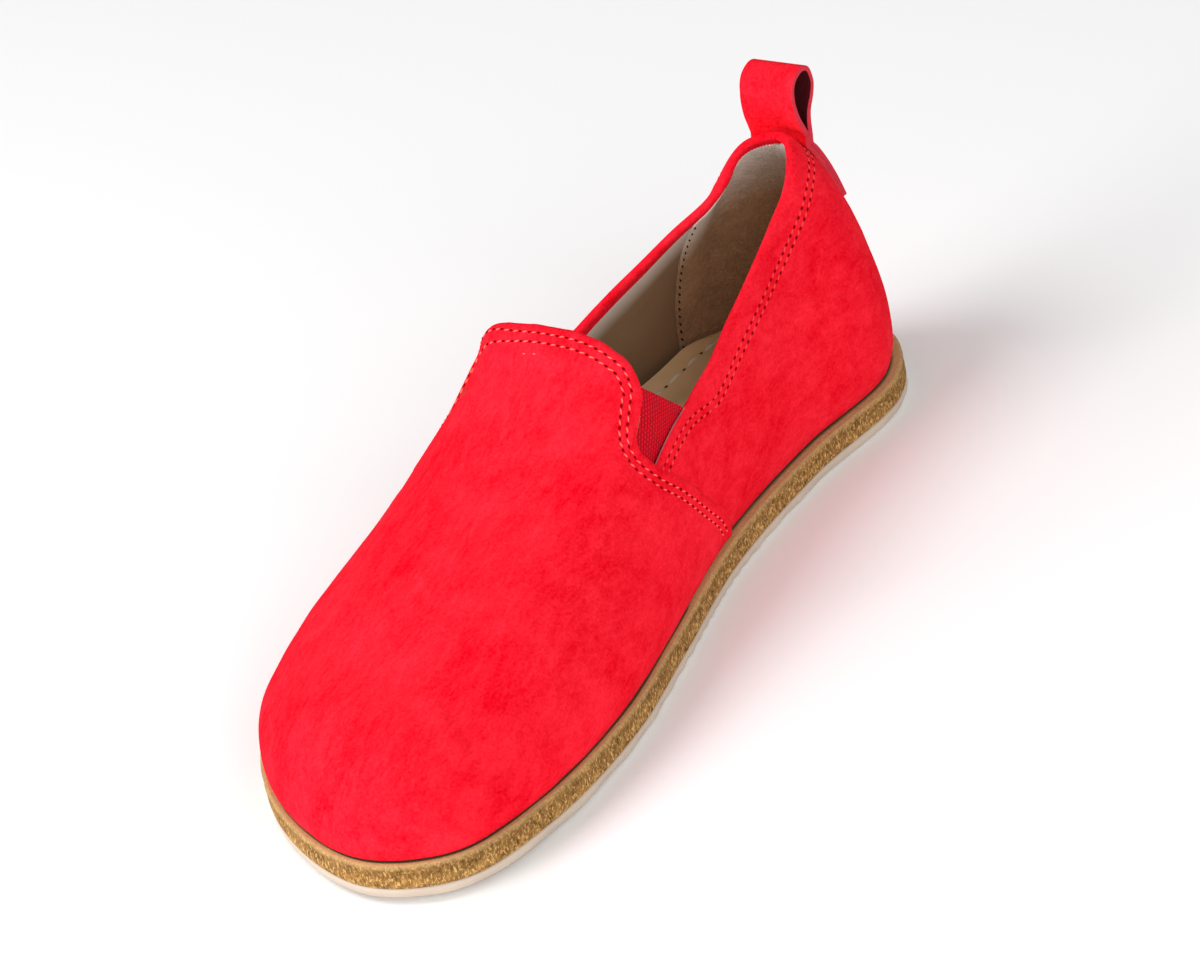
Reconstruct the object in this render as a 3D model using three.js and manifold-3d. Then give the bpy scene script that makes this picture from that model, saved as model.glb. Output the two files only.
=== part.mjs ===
// Slip-on shoe for the right foot: red leather upper with a high vamp lapped over the quarter,
// an elastic gore in each side, a leather sole on a thin rubber outsole, and a pull loop at the heel.
// Frame: millimetres, +X to the toe, +Y to the medial side, +Z up, origin under the middle of the sole.
import * as THREE from 'three';
import Module from 'manifold-3d';

const wasm = await Module();
wasm.setup();

// Driving sizes
const soleLength = 260;
const rubberThickness = 3;
const leatherThickness = 7;
const toeSpring = 2.5;
const springStart = 0.62;
const featherLedge = 2;
const sideSwell = 2.7;
const swellFade = 6;
const wallThickness = 2.4;
const lapStep = 1.2;
const lapWidth = 9;
const insoleThickness = 2.5;
const heelPad = 5;
const padFadeStart = 0.27;
const padFadeEnd = 0.58;
const goreThickness = 1.2;
const goreMargin = 0.4;
const loopWidth = 17;
const strapThickness = 1.5;
const plyOverlap = 0.4;
const tailClearance = 0.36;
const clearance = 0.3;
const insoleClearance = 0.4;
const rubberBevel = 0.8;
const leatherTuck = 0.2;
const leatherRound = 1.5;
const leatherTopDraw = 1;
const collarTilt = 3.5;

// How finely the curved forms are divided
const stationCount = 44;
const treadStationCount = 20;
const girthCount = 14;
const outlineSamples = 720;

// Sole outline: half widths at shares of the length, measured from the heel
const outlineRows = [
  { at: 0.03, medial: 19.2, lateral: 15.7 },
  { at: 0.10, medial: 30.6, lateral: 28.4 },
  { at: 0.25, medial: 28.5, lateral: 30.4 },
  { at: 0.42, medial: 31.0, lateral: 36.8 },
  { at: 0.58, medial: 40.8, lateral: 45.4 },
  { at: 0.70, medial: 47.6, lateral: 48.9 },
  { at: 0.85, medial: 48.6, lateral: 41.6 },
  { at: 0.955, medial: 41.2, lateral: 15.8 },
];
const heelBackOffset = 0.9;
const toeTipOffset = 19.4;

// Last: height of its ridge over the floor, the ridge's shift to the medial side, and the
// fullness of each side of a section, 2 for an ellipse and more for a squarer shoulder
const lastRows = [
  { at: 0.11, height: 89.0, shift: 0.9, medialFullness: 2.00, lateralFullness: 1.96 },
  { at: 0.15, height: 80.0, shift: 7.2, medialFullness: 1.99, lateralFullness: 1.84 },
  { at: 0.20, height: 77.5, shift: 6.6, medialFullness: 2.11, lateralFullness: 2.04 },
  { at: 0.27, height: 77.5, shift: 7.5, medialFullness: 2.25, lateralFullness: 2.22 },
  { at: 0.36, height: 75.5, shift: 6.7, medialFullness: 2.48, lateralFullness: 2.38 },
  { at: 0.465, height: 78.0, shift: -1.4, medialFullness: 2.70, lateralFullness: 2.70 },
  { at: 0.505, height: 71.4, shift: 0.4, medialFullness: 2.55, lateralFullness: 2.14 },
  { at: 0.55, height: 65.2, shift: 1.8, medialFullness: 2.38, lateralFullness: 2.12 },
  { at: 0.65, height: 54.0, shift: 4.8, medialFullness: 2.15, lateralFullness: 2.12 },
  { at: 0.75, height: 47.5, shift: 6.6, medialFullness: 2.05, lateralFullness: 2.05 },
  { at: 0.85, height: 40.0, shift: 8.2, medialFullness: 1.95, lateralFullness: 1.95 },
  { at: 0.93, height: 36.4, shift: 9.0, medialFullness: 1.90, lateralFullness: 1.90 },
];
const ridgeHeelEnd = 0.119;
const ridgeToeEnd = 0.860;
const ridgeEndSoftness = 9.4;

// Edges of the upper seen from the side: distance from the heel's back and height over the floor
const collarRows = [
  { from: 17.5, height: 80.6 },
  { from: 24.0, height: 80.3 },
  { from: 30.0, height: 78.2 },
  { from: 42.0, height: 71.8 },
  { from: 60.0, height: 65.1 },
  { from: 80.0, height: 58.8 },
  { from: 96.0, height: 53.3 },
  { from: 111.2, height: 51.2 },
];
const quarterFrontRows = [
  { from: 111.2, height: 51.2 },
  { from: 121.4, height: 50.2 },
  { from: 132.8, height: 46.7 },
];
const vampEdgeRows = [
  { from: 132.8, height: 46.7 },
  { from: 134.5, height: 52.2 },
  { from: 131.9, height: 57.2 },
  { from: 126.0, height: 61.1 },
  { from: 123.0, height: 64.8 },
  { from: 120.6, height: 70.0 },
  { from: 121.0, height: 82.0 },
];
const tongueCornerRow = 4;
const tongueRear = 0.44;
const earRise = 5;
const sideSeamRows = [
  { from: 106.0, height: 8.0 },
  { from: 109.3, height: 16.7 },
  { from: 118.2, height: 28.5 },
  { from: 126.8, height: 39.8 },
  { from: 132.2, height: 48.6 },
];

// Pull loop seen from the side: the middle of the strap from its pinch over the top and back
const loopFrontRows = [
  { from: 14.3, height: 76.8 },
  { from: 15.7, height: 79.8 },
  { from: 17.6, height: 83.6 },
  { from: 18.8, height: 88.0 },
  { from: 18.6, height: 91.3 },
  { from: 17.1, height: 93.9 },
  { from: 14.7, height: 95.2 },
  { from: 11.4, height: 95.4 },
];
const loopRearRows = [
  { from: 12.6, height: 95.4 },
  { from: 9.9, height: 93.9 },
  { from: 9.2, height: 89.8 },
  { from: 10.2, height: 86.6 },
  { from: 12.1, height: 83.4 },
  { from: 12.7, height: 80.2 },
  { from: 12.7, height: 76.8 },
];
const tailTop = 74;
const tailBottom = 52;

const halfLength = soleLength / 2;
const soleTop = rubberThickness + leatherThickness;
const stationX = share => share * soleLength - halfLength;

// Smooth curve through one column of a table, with slopes limited so that it never overshoots
function column(rows, name) {
  const xs = rows.map(row => stationX(row.at));
  const values = rows.map(row => row[name]);
  const last = rows.length - 1;
  const chords = values.slice(1).map((value, i) => (value - values[i]) / (xs[i + 1] - xs[i]));
  const slopes = values.map((value, i) => {
    if (i === 0) return chords[0];
    if (i === last) return chords[last - 1];
    const product = chords[i - 1] * chords[i];
    return product > 0 ? 2 * product / (chords[i - 1] + chords[i]) : 0;
  });
  return x => {
    const inside = THREE.MathUtils.clamp(x, xs[0], xs[last]);
    const i = Math.min(last - 1, Math.max(0, xs.findIndex(limit => limit >= inside) - 1));
    const span = xs[i + 1] - xs[i];
    const t = (inside - xs[i]) / span;
    const rest = 1 - t;
    return values[i] * (1 + 2 * t) * rest * rest + slopes[i] * span * t * rest * rest
      + values[i + 1] * t * t * (3 - 2 * t) - slopes[i + 1] * span * t * t * rest;
  };
}

// Rise of the sole towards the toe
function springAt(x) {
  const start = stationX(springStart);
  const share = Math.max(0, (x - start) / (halfLength - start));
  return toeSpring * share * share;
}

// Thickness that the heel and waist add to the insole
function padAt(x) {
  return heelPad * (1 - THREE.MathUtils.smoothstep(x, stationX(padFadeStart), stationX(padFadeEnd)));
}

// Closed sole outline, from the heel's back along the medial side to the toe and back
const outline = new THREE.CatmullRomCurve3([
  new THREE.Vector3(-halfLength, heelBackOffset, 0),
  ...outlineRows.map(row => new THREE.Vector3(stationX(row.at), row.medial, 0)),
  new THREE.Vector3(halfLength, toeTipOffset, 0),
  ...outlineRows.toReversed().map(row => new THREE.Vector3(stationX(row.at), -row.lateral, 0)),
], true, 'centripetal');

// Outline drawn in by a margin, as two rails from heel to toe that share their stations
function rails(margin, count = stationCount) {
  const inset = share => {
    const point = outline.getPoint(share % 1);
    const along = outline.getTangent(share % 1);
    return new THREE.Vector2(point.x + along.y * margin, point.y - along.x * margin);
  };
  const halfway = outlineSamples / 2;
  const medial = [];
  const lateral = [];
  for (let i = 0; i <= halfway; i += 1) {
    medial.push(inset(i / outlineSamples));
    lateral.push(inset(1 - i / outlineSamples));
  }
  const across = (rail, x) => {
    const i = Math.min(halfway, Math.max(1, rail.findIndex(point => point.x >= x)));
    const span = rail[i].x - rail[i - 1].x;
    return THREE.MathUtils.lerp(rail[i - 1].y, rail[i].y, span > 0 ? (x - rail[i - 1].x) / span : 0);
  };
  const heel = medial[0];
  const toe = medial[halfway];
  const stations = [];
  for (let i = 0; i <= count; i += 1) {
    const share = (1 - Math.cos(Math.PI * i / count)) / 2;
    const x = THREE.MathUtils.lerp(heel.x, toe.x, share);
    const end = i === 0 ? heel : toe;
    const closed = i === 0 || i === count;
    stations.push({
      x,
      medial: closed ? end.y : across(medial, x),
      lateral: closed ? end.y : across(lateral, x),
    });
  }
  return stations;
}

// Triangles gathered into one closed solid
class Skin {
  constructor() {
    this.points = [];
    this.triangles = [];
  }

  point(x, y, z) {
    this.points.push(x, y, z);
    return this.points.length / 3 - 1;
  }

  triangle(a, b, c) {
    if (a !== b && b !== c && a !== c) this.triangles.push(a, b, c);
  }

  quad(a, b, c, d) {
    this.triangle(a, b, c);
    this.triangle(a, c, d);
  }

  solid() {
    return solidFrom(this.points, this.triangles);
  }
}

function solidFrom(points, triangles) {
  return new wasm.Manifold(new wasm.Mesh({
    numProp: 3,
    vertProperties: Float32Array.from(points),
    triVerts: Uint32Array.from(triangles),
  }));
}

// Layer of the sole through rings at rising heights, each drawn in by its own margin
function soleLayer(rings, count = stationCount) {
  const skin = new Skin();
  const loops = rings.map(ring => {
    const stations = rails(ring.margin, count);
    const place = (station, side) => {
      const rise = springAt(station.x) + (ring.padded ? padAt(station.x) : 0);
      return skin.point(station.x, station[side], ring.height + rise);
    };
    const medial = stations.map(station => place(station, 'medial'));
    const lateral = stations.map((station, i) => (
      i === 0 || i === count ? medial[i] : place(station, 'lateral')
    ));
    return { medial, lateral };
  });
  const top = loops[loops.length - 1];
  const bottom = loops[0];
  for (let i = 0; i < count; i += 1) {
    for (let j = 1; j < loops.length; j += 1) {
      const low = loops[j - 1];
      const high = loops[j];
      skin.quad(low.medial[i], high.medial[i], high.medial[i + 1], low.medial[i + 1]);
      skin.quad(low.lateral[i + 1], high.lateral[i + 1], high.lateral[i], low.lateral[i]);
    }
    skin.quad(top.lateral[i], top.lateral[i + 1], top.medial[i + 1], top.medial[i]);
    skin.quad(bottom.medial[i], bottom.medial[i + 1], bottom.lateral[i + 1], bottom.lateral[i]);
  }
  return skin.solid();
}

// Last surface
const ridgeHeight = column(lastRows, 'height');
const ridgeShift = column(lastRows, 'shift');
const medialFullness = column(lastRows, 'medialFullness');
const lateralFullness = column(lastRows, 'lateralFullness');

// Station of the ridge that a girth line climbs to: the ends fan out from the ridge's two ends
function ridgeStation(x) {
  const soften = value => ridgeEndSoftness * Math.log1p(Math.exp(value / ridgeEndSoftness));
  const fromHeel = stationX(ridgeHeelEnd) + soften(x - stationX(ridgeHeelEnd));
  return stationX(ridgeToeEnd) - soften(stationX(ridgeToeEnd) - fromHeel);
}

// Point of the last: x and y of its foot, and the angle climbed from the foot to the ridge
function lastPoint(footX, footY, angle) {
  const x = ridgeStation(footX);
  const y = ridgeShift(x);
  const power = 2 / (footY > y ? medialFullness(footX) : lateralFullness(footX));
  const base = soleTop + clearance + springAt(footX);
  const height = base + (ridgeHeight(x) - base) * Math.sin(angle) ** power;
  const tuck = sideSwell * Math.exp((base - height) / swellFade);
  const reach = Math.hypot(footX - x, footY - y);
  const out = Math.max(0, Math.cos(angle)) ** power * (1 - tuck / reach);
  return new THREE.Vector3(x + (footX - x) * out, y + (footY - y) * out, height);
}

const lastFoot = rails(featherLedge - sideSwell);

// Dome of the last as shared points and triangles, closed but for its open foot
function lastDome() {
  const skin = new Skin();
  const stations = lastFoot;
  const add = point => skin.point(point.x, point.y, point.z);
  const sides = { medial: [], lateral: [] };
  const ridge = [];
  const ridgeMergeGap = 1;
  for (let i = 0; i <= stationCount; i += 1) {
    const { x, medial } = stations[i];
    const peak = lastPoint(x, medial, Math.PI / 2);
    const before = i > 0 ? ridge[i - 1] : undefined;
    const near = before !== undefined && peak.x - skin.points[before * 3] < ridgeMergeGap;
    ridge.push(near ? before : add(peak));
  }
  for (let i = 0; i <= stationCount; i += 1) {
    const closed = i === 0 || i === stationCount;
    for (const side of ['medial', 'lateral']) {
      if (closed && side === 'lateral') {
        sides.lateral.push(sides.medial[i]);
        continue;
      }
      const line = [];
      for (let j = 0; j < girthCount; j += 1) {
        const angle = Math.PI / 2 * j / girthCount;
        line.push(add(lastPoint(stations[i].x, stations[i][side], angle)));
      }
      sides[side].push([...line, ridge[i]]);
    }
  }
  const foot = [];
  for (let i = 0; i < stationCount; i += 1) {
    for (let j = 0; j < girthCount; j += 1) {
      const m = sides.medial;
      const l = sides.lateral;
      skin.quad(m[i][j], m[i][j + 1], m[i + 1][j + 1], m[i + 1][j]);
      skin.quad(l[i + 1][j], l[i + 1][j + 1], l[i][j + 1], l[i][j]);
    }
    foot.push([sides.medial[i][0], sides.medial[i + 1][0]]);
    foot.push([sides.lateral[i + 1][0], sides.lateral[i][0]]);
  }
  const geometry = new THREE.BufferGeometry();
  geometry.setAttribute('position', new THREE.Float32BufferAttribute(skin.points, 3));
  geometry.setIndex(skin.triangles);
  geometry.computeVertexNormals();
  return { geometry, foot };
}

const dome = lastDome();

// Shell between two depths under the last's surface, open underneath, its foot raised by a little
function shell(outerDepth, innerDepth, footRise = 0) {
  const position = dome.geometry.getAttribute('position');
  const normal = dome.geometry.getAttribute('normal');
  const index = dome.geometry.getIndex().array;
  const footPoints = new Set(dome.foot.flat());
  const skin = new Skin();
  for (const depth of [outerDepth, innerDepth]) {
    for (let i = 0; i < position.count; i += 1) {
      const level = footPoints.has(i);
      const drop = level ? -footRise : normal.getZ(i) * depth;
      skin.point(
        position.getX(i) - normal.getX(i) * depth,
        position.getY(i) - normal.getY(i) * depth,
        position.getZ(i) - drop,
      );
    }
  }
  const inner = position.count;
  for (let k = 0; k < index.length; k += 3) {
    skin.triangle(index[k], index[k + 1], index[k + 2]);
    skin.triangle(index[k] + inner, index[k + 2] + inner, index[k + 1] + inner);
  }
  for (const [a, b] of dome.foot) {
    skin.quad(a, b, b + inner, a + inner);
  }
  return skin.solid();
}

// Points of a side edge, smoothed through its rows
function edge(rows, pieces) {
  const curve = new THREE.SplineCurve(rows.map(row => new THREE.Vector2(row.from - halfLength, row.height)));
  return curve.getPoints(pieces);
}

// Prism across the shoe over a side profile, tilted with the collar, from one y to another
function sidePrism(profile, fromY, toY) {
  const pivotHeight = 60;
  const geometry = new THREE.ExtrudeGeometry(new THREE.Shape(profile), {
    depth: toY - fromY,
    bevelEnabled: false,
  });
  geometry.rotateX(Math.PI / 2);
  geometry.translate(0, toY, -pivotHeight);
  geometry.rotateX(THREE.MathUtils.degToRad(collarTilt));
  geometry.translate(0, 0, pivotHeight);
  return solidOf(geometry);
}

// Closed solid of a three.js geometry, with its shared corners merged
function solidOf(geometry) {
  const bare = geometry.index ? geometry.toNonIndexed() : geometry;
  const position = bare.getAttribute('position');
  const places = new Map();
  const points = [];
  const triangles = [];
  for (let i = 0; i < position.count; i += 1) {
    const place = [position.getX(i), position.getY(i), position.getZ(i)];
    const key = place.map(value => value.toFixed(4)).join(' ');
    if (!places.has(key)) {
      places.set(key, places.size);
      points.push(...place);
    }
    triangles.push(places.get(key));
  }
  return solidFrom(points, triangles);
}

// Side profiles
const beyond = halfLength + 30;
const sky = 140;
const underfoot = -10;
const acrossShoe = 90;
const collarEdge = edge(collarRows, 28);
const quarterFront = edge(quarterFrontRows, 6);
const vampEdge = edge(vampEdgeRows, 24);
const sideSeam = edge(sideSeamRows, 12);

function moved(points, dx, dz) {
  return points.map(point => new THREE.Vector2(point.x + dx, point.y + dz));
}

// Hollow upper: the quarter's shell runs on under the vamp's shell by the width of the lap
function upper() {
  const seamTop = sideSeam[sideSeam.length - 1];
  const vampProfile = [
    new THREE.Vector2(sideSeam[0].x, underfoot),
    ...sideSeam,
    new THREE.Vector2(stationX(tongueRear), seamTop.y + earRise),
    new THREE.Vector2(stationX(tongueRear), sky),
    new THREE.Vector2(beyond, sky),
    new THREE.Vector2(beyond, underfoot),
  ];
  const lap = moved(sideSeam, lapWidth, 0);
  const quarterProfile = [
    new THREE.Vector2(-beyond, underfoot),
    new THREE.Vector2(lap[0].x, underfoot),
    ...lap,
    new THREE.Vector2(lap[lap.length - 1].x, sky),
    new THREE.Vector2(-beyond, sky),
  ];
  const openingProfile = [
    new THREE.Vector2(-beyond, collarEdge[0].y),
    ...collarEdge,
    ...quarterFront.slice(1),
    ...vampEdge.slice(1),
    new THREE.Vector2(vampEdge[vampEdge.length - 1].x, sky),
    new THREE.Vector2(-beyond, sky),
  ];
  const vamp = shell(0, wallThickness).intersect(sidePrism(vampProfile, -acrossShoe, acrossShoe));
  const quarter = shell(lapStep, lapStep + wallThickness, clearance)
    .intersect(sidePrism(quarterProfile, -acrossShoe, acrossShoe));
  return vamp.add(quarter).subtract(sidePrism(openingProfile, -acrossShoe, acrossShoe));
}

// Side profile drawn in all round by a margin, for a profile that runs counter-clockwise
function drawnIn(profile, margin) {
  const inward = (from, to) => {
    const along = new THREE.Vector2().subVectors(to, from).normalize();
    return new THREE.Vector2(-along.y, along.x);
  };
  return profile.map((point, i) => {
    const before = inward(profile.at(i - 1), point);
    const after = inward(point, profile[(i + 1) % profile.length]);
    const reach = margin / (1 + before.dot(after));
    return new THREE.Vector2(
      point.x + (before.x + after.x) * reach,
      point.y + (before.y + after.y) * reach,
    );
  });
}

// Elastic wedge between quarter and vamp, set into the wall
function gore(fromY, toY) {
  const tongueSide = edge(vampEdgeRows.slice(0, tongueCornerRow + 1), 14);
  const profile = drawnIn([...quarterFront, ...tongueSide.slice(1)], goreMargin);
  const depth = lapStep + wallThickness - goreThickness;
  return shell(depth, depth + goreThickness).intersect(sidePrism(profile, fromY, toY));
}

// Back of the quarter at a height and a distance to the side of the heel's middle
function heelBack(across, height) {
  const stations = lastFoot;
  const side = across > stations[0].medial ? 'medial' : 'lateral';
  const climb = (footX, footY) => {
    let low = 0;
    let high = Math.PI / 2;
    for (let step = 0; step < 24; step += 1) {
      const middle = (low + high) / 2;
      if (lastPoint(footX, footY, middle).z < height) low = middle;
      else high = middle;
    }
    return lastPoint(footX, footY, low);
  };
  let before = climb(stations[0].x, stations[0].medial);
  for (let i = 1; i < stationCount; i += 1) {
    const after = climb(stations[i].x, stations[i][side]);
    const reached = side === 'medial' ? after.y >= across : after.y <= across;
    if (reached) {
      const share = (across - before.y) / (after.y - before.y);
      return THREE.MathUtils.lerp(before.x, after.x, share);
    }
    before = after;
  }
  return before.x;
}

// Strap along a side path, with its outer ends following the round of the heel
function strap(path, thickness) {
  const columns = 8;
  const middle = heelBackOffset;
  const skin = new Skin();
  const normals = path.map((point, i) => {
    const ahead = path[Math.min(path.length - 1, i + 1)];
    const behind = path[Math.max(0, i - 1)];
    const along = new THREE.Vector2().subVectors(ahead, behind).normalize();
    return new THREE.Vector2(-along.y, along.x);
  });
  const bendTop = 90;
  const faces = [-thickness / 2, thickness / 2].map(offset => path.map((point, i) => {
    const x = point.x + normals[i].x * offset;
    const z = point.y + normals[i].y * offset;
    const bendHeight = Math.min(point.y, tailTop);
    const follow = THREE.MathUtils.clamp((bendTop - point.y) / (bendTop - tailTop), 0, 1);
    const row = [];
    for (let k = 0; k <= columns; k += 1) {
      const y = middle + loopWidth * (k / columns - 0.5);
      const bend = heelBack(y, bendHeight) - heelBack(middle, bendHeight);
      row.push(skin.point(x + bend * follow, y, z));
    }
    return row;
  }));
  const [front, back] = faces;
  const end = path.length - 1;
  for (let k = 0; k < columns; k += 1) {
    for (let i = 0; i < end; i += 1) {
      skin.quad(front[i][k], front[i][k + 1], front[i + 1][k + 1], front[i + 1][k]);
      skin.quad(back[i][k], back[i + 1][k], back[i + 1][k + 1], back[i][k + 1]);
    }
    skin.quad(front[0][k], back[0][k], back[0][k + 1], front[0][k + 1]);
    skin.quad(front[end][k], front[end][k + 1], back[end][k + 1], back[end][k]);
  }
  for (let i = 0; i < end; i += 1) {
    skin.quad(front[i][0], front[i + 1][0], back[i + 1][0], back[i][0]);
    skin.quad(front[i][columns], back[i][columns], back[i + 1][columns], front[i + 1][columns]);
  }
  return skin.solid();
}

// Pull loop: one strap whose two ends lie on each other down the back of the heel
function pullLoop() {
  const tailRows = 5;
  const tail = (depth) => {
    const points = [];
    for (let i = 0; i <= tailRows; i += 1) {
      const height = THREE.MathUtils.lerp(tailBottom, tailTop, i / tailRows);
      points.push(new THREE.Vector2(heelBack(heelBackOffset, height) + lapStep - depth, height));
    }
    return points;
  };
  const innerDepth = tailClearance + strapThickness / 2;
  const outerDepth = innerDepth + strapThickness - plyOverlap;
  const front = strap([...tail(innerDepth), ...edge(loopFrontRows, 18)], strapThickness);
  const rear = strap([...edge(loopRearRows, 18), ...tail(outerDepth).reverse()], strapThickness);
  return front.add(rear);
}

function mesh(name, solid, look) {
  const { vertProperties, triVerts } = solid.getMesh();
  const geometry = new THREE.BufferGeometry();
  geometry.setAttribute('position', new THREE.BufferAttribute(vertProperties, 3));
  geometry.setIndex(new THREE.BufferAttribute(triVerts, 1));
  geometry.computeVertexNormals();
  const piece = new THREE.Mesh(geometry, new THREE.MeshStandardMaterial(look));
  piece.name = name;
  return piece;
}

const redNubuck = { color: 0xdc1228, roughness: 0.9 };
const redElastic = { color: 0xa80a22, roughness: 0.8 };
const soleLeather = { color: 0xb4843f, roughness: 0.85 };
const paleRubber = { color: 0xd8c0a6, roughness: 0.7 };
const tanLeather = { color: 0x97805c, roughness: 0.6 };

const outsoleRings = [
  { height: 0, margin: rubberBevel },
  { height: rubberBevel, margin: 0 },
  { height: rubberThickness - clearance, margin: 0 },
];
const midsoleRings = [
  { height: rubberThickness, margin: leatherTuck },
  { height: rubberThickness + leatherRound, margin: 0 },
  { height: soleTop - leatherRound, margin: 0 },
  { height: soleTop, margin: leatherTopDraw },
];
const insoleMargin = featherLedge + lapStep + wallThickness + insoleClearance;
const insoleRings = [
  { height: soleTop + clearance, margin: insoleMargin },
  { height: soleTop + clearance + insoleThickness, margin: insoleMargin, padded: true },
];

const shoe = new THREE.Group();
shoe.add(mesh('outsole', soleLayer(outsoleRings, treadStationCount), paleRubber));
shoe.add(mesh('midsole', soleLayer(midsoleRings), soleLeather));
shoe.add(mesh('insole', soleLayer(insoleRings), tanLeather));
shoe.add(mesh('upper', upper(), redNubuck));
shoe.add(mesh('gore_medial', gore(0, acrossShoe), redElastic));
shoe.add(mesh('gore_lateral', gore(-acrossShoe, 0), redElastic));
shoe.add(mesh('pull_loop', pullLoop(), redNubuck));

export default shoe;
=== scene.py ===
"""Slip-on shoe for the right foot, dressed piece by piece over its CAD frame."""
import bisect
import collections
import functools
import itertools
import math

import bpy
from mathutils import Matrix, Vector, kdtree, noise
from mathutils.bvhtree import BVHTree


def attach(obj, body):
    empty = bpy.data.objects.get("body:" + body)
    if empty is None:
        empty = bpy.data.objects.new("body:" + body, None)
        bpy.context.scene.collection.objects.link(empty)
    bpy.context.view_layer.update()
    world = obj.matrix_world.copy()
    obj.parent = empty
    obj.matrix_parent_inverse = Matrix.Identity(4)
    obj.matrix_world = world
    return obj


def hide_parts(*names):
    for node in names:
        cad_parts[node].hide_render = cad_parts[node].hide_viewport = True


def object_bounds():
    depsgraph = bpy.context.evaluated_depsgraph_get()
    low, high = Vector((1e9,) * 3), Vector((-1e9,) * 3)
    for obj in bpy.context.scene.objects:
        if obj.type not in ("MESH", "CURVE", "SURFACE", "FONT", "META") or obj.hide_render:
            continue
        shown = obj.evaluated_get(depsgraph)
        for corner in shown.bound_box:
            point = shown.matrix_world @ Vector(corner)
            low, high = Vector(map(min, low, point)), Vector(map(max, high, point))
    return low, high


bl_info = {
    "name": "Slip-on Shoe",
    "version": (1, 0, 0),
    "blender": (4, 5, 0),
    "location": "View3D > Sidebar > Shoe",
    "description": "Builds a leather slip-on shoe piece by piece over its CAD frame",
    "category": "Mesh",
}

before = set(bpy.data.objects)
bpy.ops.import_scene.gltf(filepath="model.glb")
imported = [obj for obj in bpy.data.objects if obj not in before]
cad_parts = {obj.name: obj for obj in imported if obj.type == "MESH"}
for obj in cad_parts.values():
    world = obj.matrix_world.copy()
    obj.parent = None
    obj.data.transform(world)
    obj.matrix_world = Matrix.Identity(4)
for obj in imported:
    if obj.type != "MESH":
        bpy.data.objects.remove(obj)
CAD_BOX = [list(corner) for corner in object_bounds()]

# Lengths below are millimetres, and places along the shoe are measured from the heel's back
MM = 0.001
CAD_LENGTH = (CAD_BOX[1][0] - CAD_BOX[0][0]) / MM
MEDIAL = 1
LATERAL = -1
SIDES = (MEDIAL, LATERAL)
RIDGE = math.pi / 2

# Sole outline: share of the length from the heel, medial half width, lateral half width
OUTLINE_ROWS = (
    (0.03, 19.2, 15.7),
    (0.10, 30.6, 28.4),
    (0.25, 28.5, 30.4),
    (0.42, 31.0, 36.8),
    (0.58, 40.8, 45.4),
    (0.70, 47.6, 48.9),
    (0.85, 48.6, 41.6),
    (0.955, 41.2, 15.8),
)
HEEL_BACK_OFFSET = 0.9
TOE_TIP_OFFSET = 19.4
OUTLINE_SAMPLES = 1440

# Last: share of the length, ridge height, ridge shift to the medial side, medial and lateral fullness
LAST_ROWS = (
    (0.11, 89.0, 0.9, 2.00, 1.96),
    (0.15, 80.0, 7.2, 1.99, 1.84),
    (0.20, 77.5, 6.6, 2.11, 2.04),
    (0.27, 77.5, 7.5, 2.25, 2.22),
    (0.36, 75.5, 6.7, 2.48, 2.38),
    (0.465, 78.0, -1.4, 2.70, 2.70),
    (0.505, 71.4, 0.4, 2.55, 2.14),
    (0.55, 65.2, 1.8, 2.38, 2.12),
    (0.65, 54.0, 4.8, 2.15, 2.12),
    (0.75, 47.5, 6.6, 2.05, 2.05),
    (0.85, 40.0, 8.2, 1.95, 1.95),
    (0.93, 36.4, 9.0, 1.90, 1.90),
)
RIDGE_HEEL_END = 0.119
RIDGE_TOE_END = 0.860
RIDGE_END_SOFTNESS = 9.4
SPRING_START = 0.62
FEATHER_LEDGE = 2.0
SIDE_SWELL = 2.7
SWELL_FADE = 6.0
CLEARANCE = 0.3
COLLAR_TILT = math.radians(3.5)
TILT_HEIGHT = 60.0
VAMP_START_RANGE = (0.36, 0.62)
HEEL_BACK_REACH = 90.0
FINE_HALVINGS = 26
COARSE_HALVINGS = 18
SIDE_ROUNDS = 6
ANGLE_STEP = 0.02

# Edges of the upper seen from the side: distance from the heel, height over the floor
COLLAR_ROWS = (
    (17.5, 80.6),
    (24.0, 80.3),
    (30.0, 78.2),
    (42.0, 71.8),
    (60.0, 65.1),
    (80.0, 58.8),
    (96.0, 53.3),
    (111.2, 51.2),
    (121.4, 50.2),
    (132.8, 46.7),
    (139.0, 43.6),
)
VAMP_EDGE_ROWS = (
    (8.0, 106.0),
    (16.7, 109.3),
    (28.5, 118.2),
    (39.8, 126.8),
    (46.2, 132.0),
    (52.2, 134.5),
    (57.2, 131.9),
    (61.1, 126.0),
    (64.8, 123.0),
    (70.0, 120.6),
    (82.0, 120.6),
)
LAP_STEP = 1.2

# Pull loop seen from the side, up the outer end, round the top and down the inner end
LOOP_ROWS = (
    (12.7, 76.8),
    (12.7, 80.2),
    (12.1, 83.4),
    (10.2, 86.6),
    (9.2, 89.8),
    (9.9, 93.9),
    (12.0, 95.4),
    (14.7, 95.2),
    (17.1, 93.9),
    (18.6, 91.3),
    (18.8, 88.0),
    (17.6, 83.6),
    (15.7, 79.8),
    (14.3, 76.8),
)
TAIL_TOP = 74.0
TAIL_BOTTOM = 52.0
TAIL_CLEARANCE = 0.36
BEND_TOP = 90.0

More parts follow.
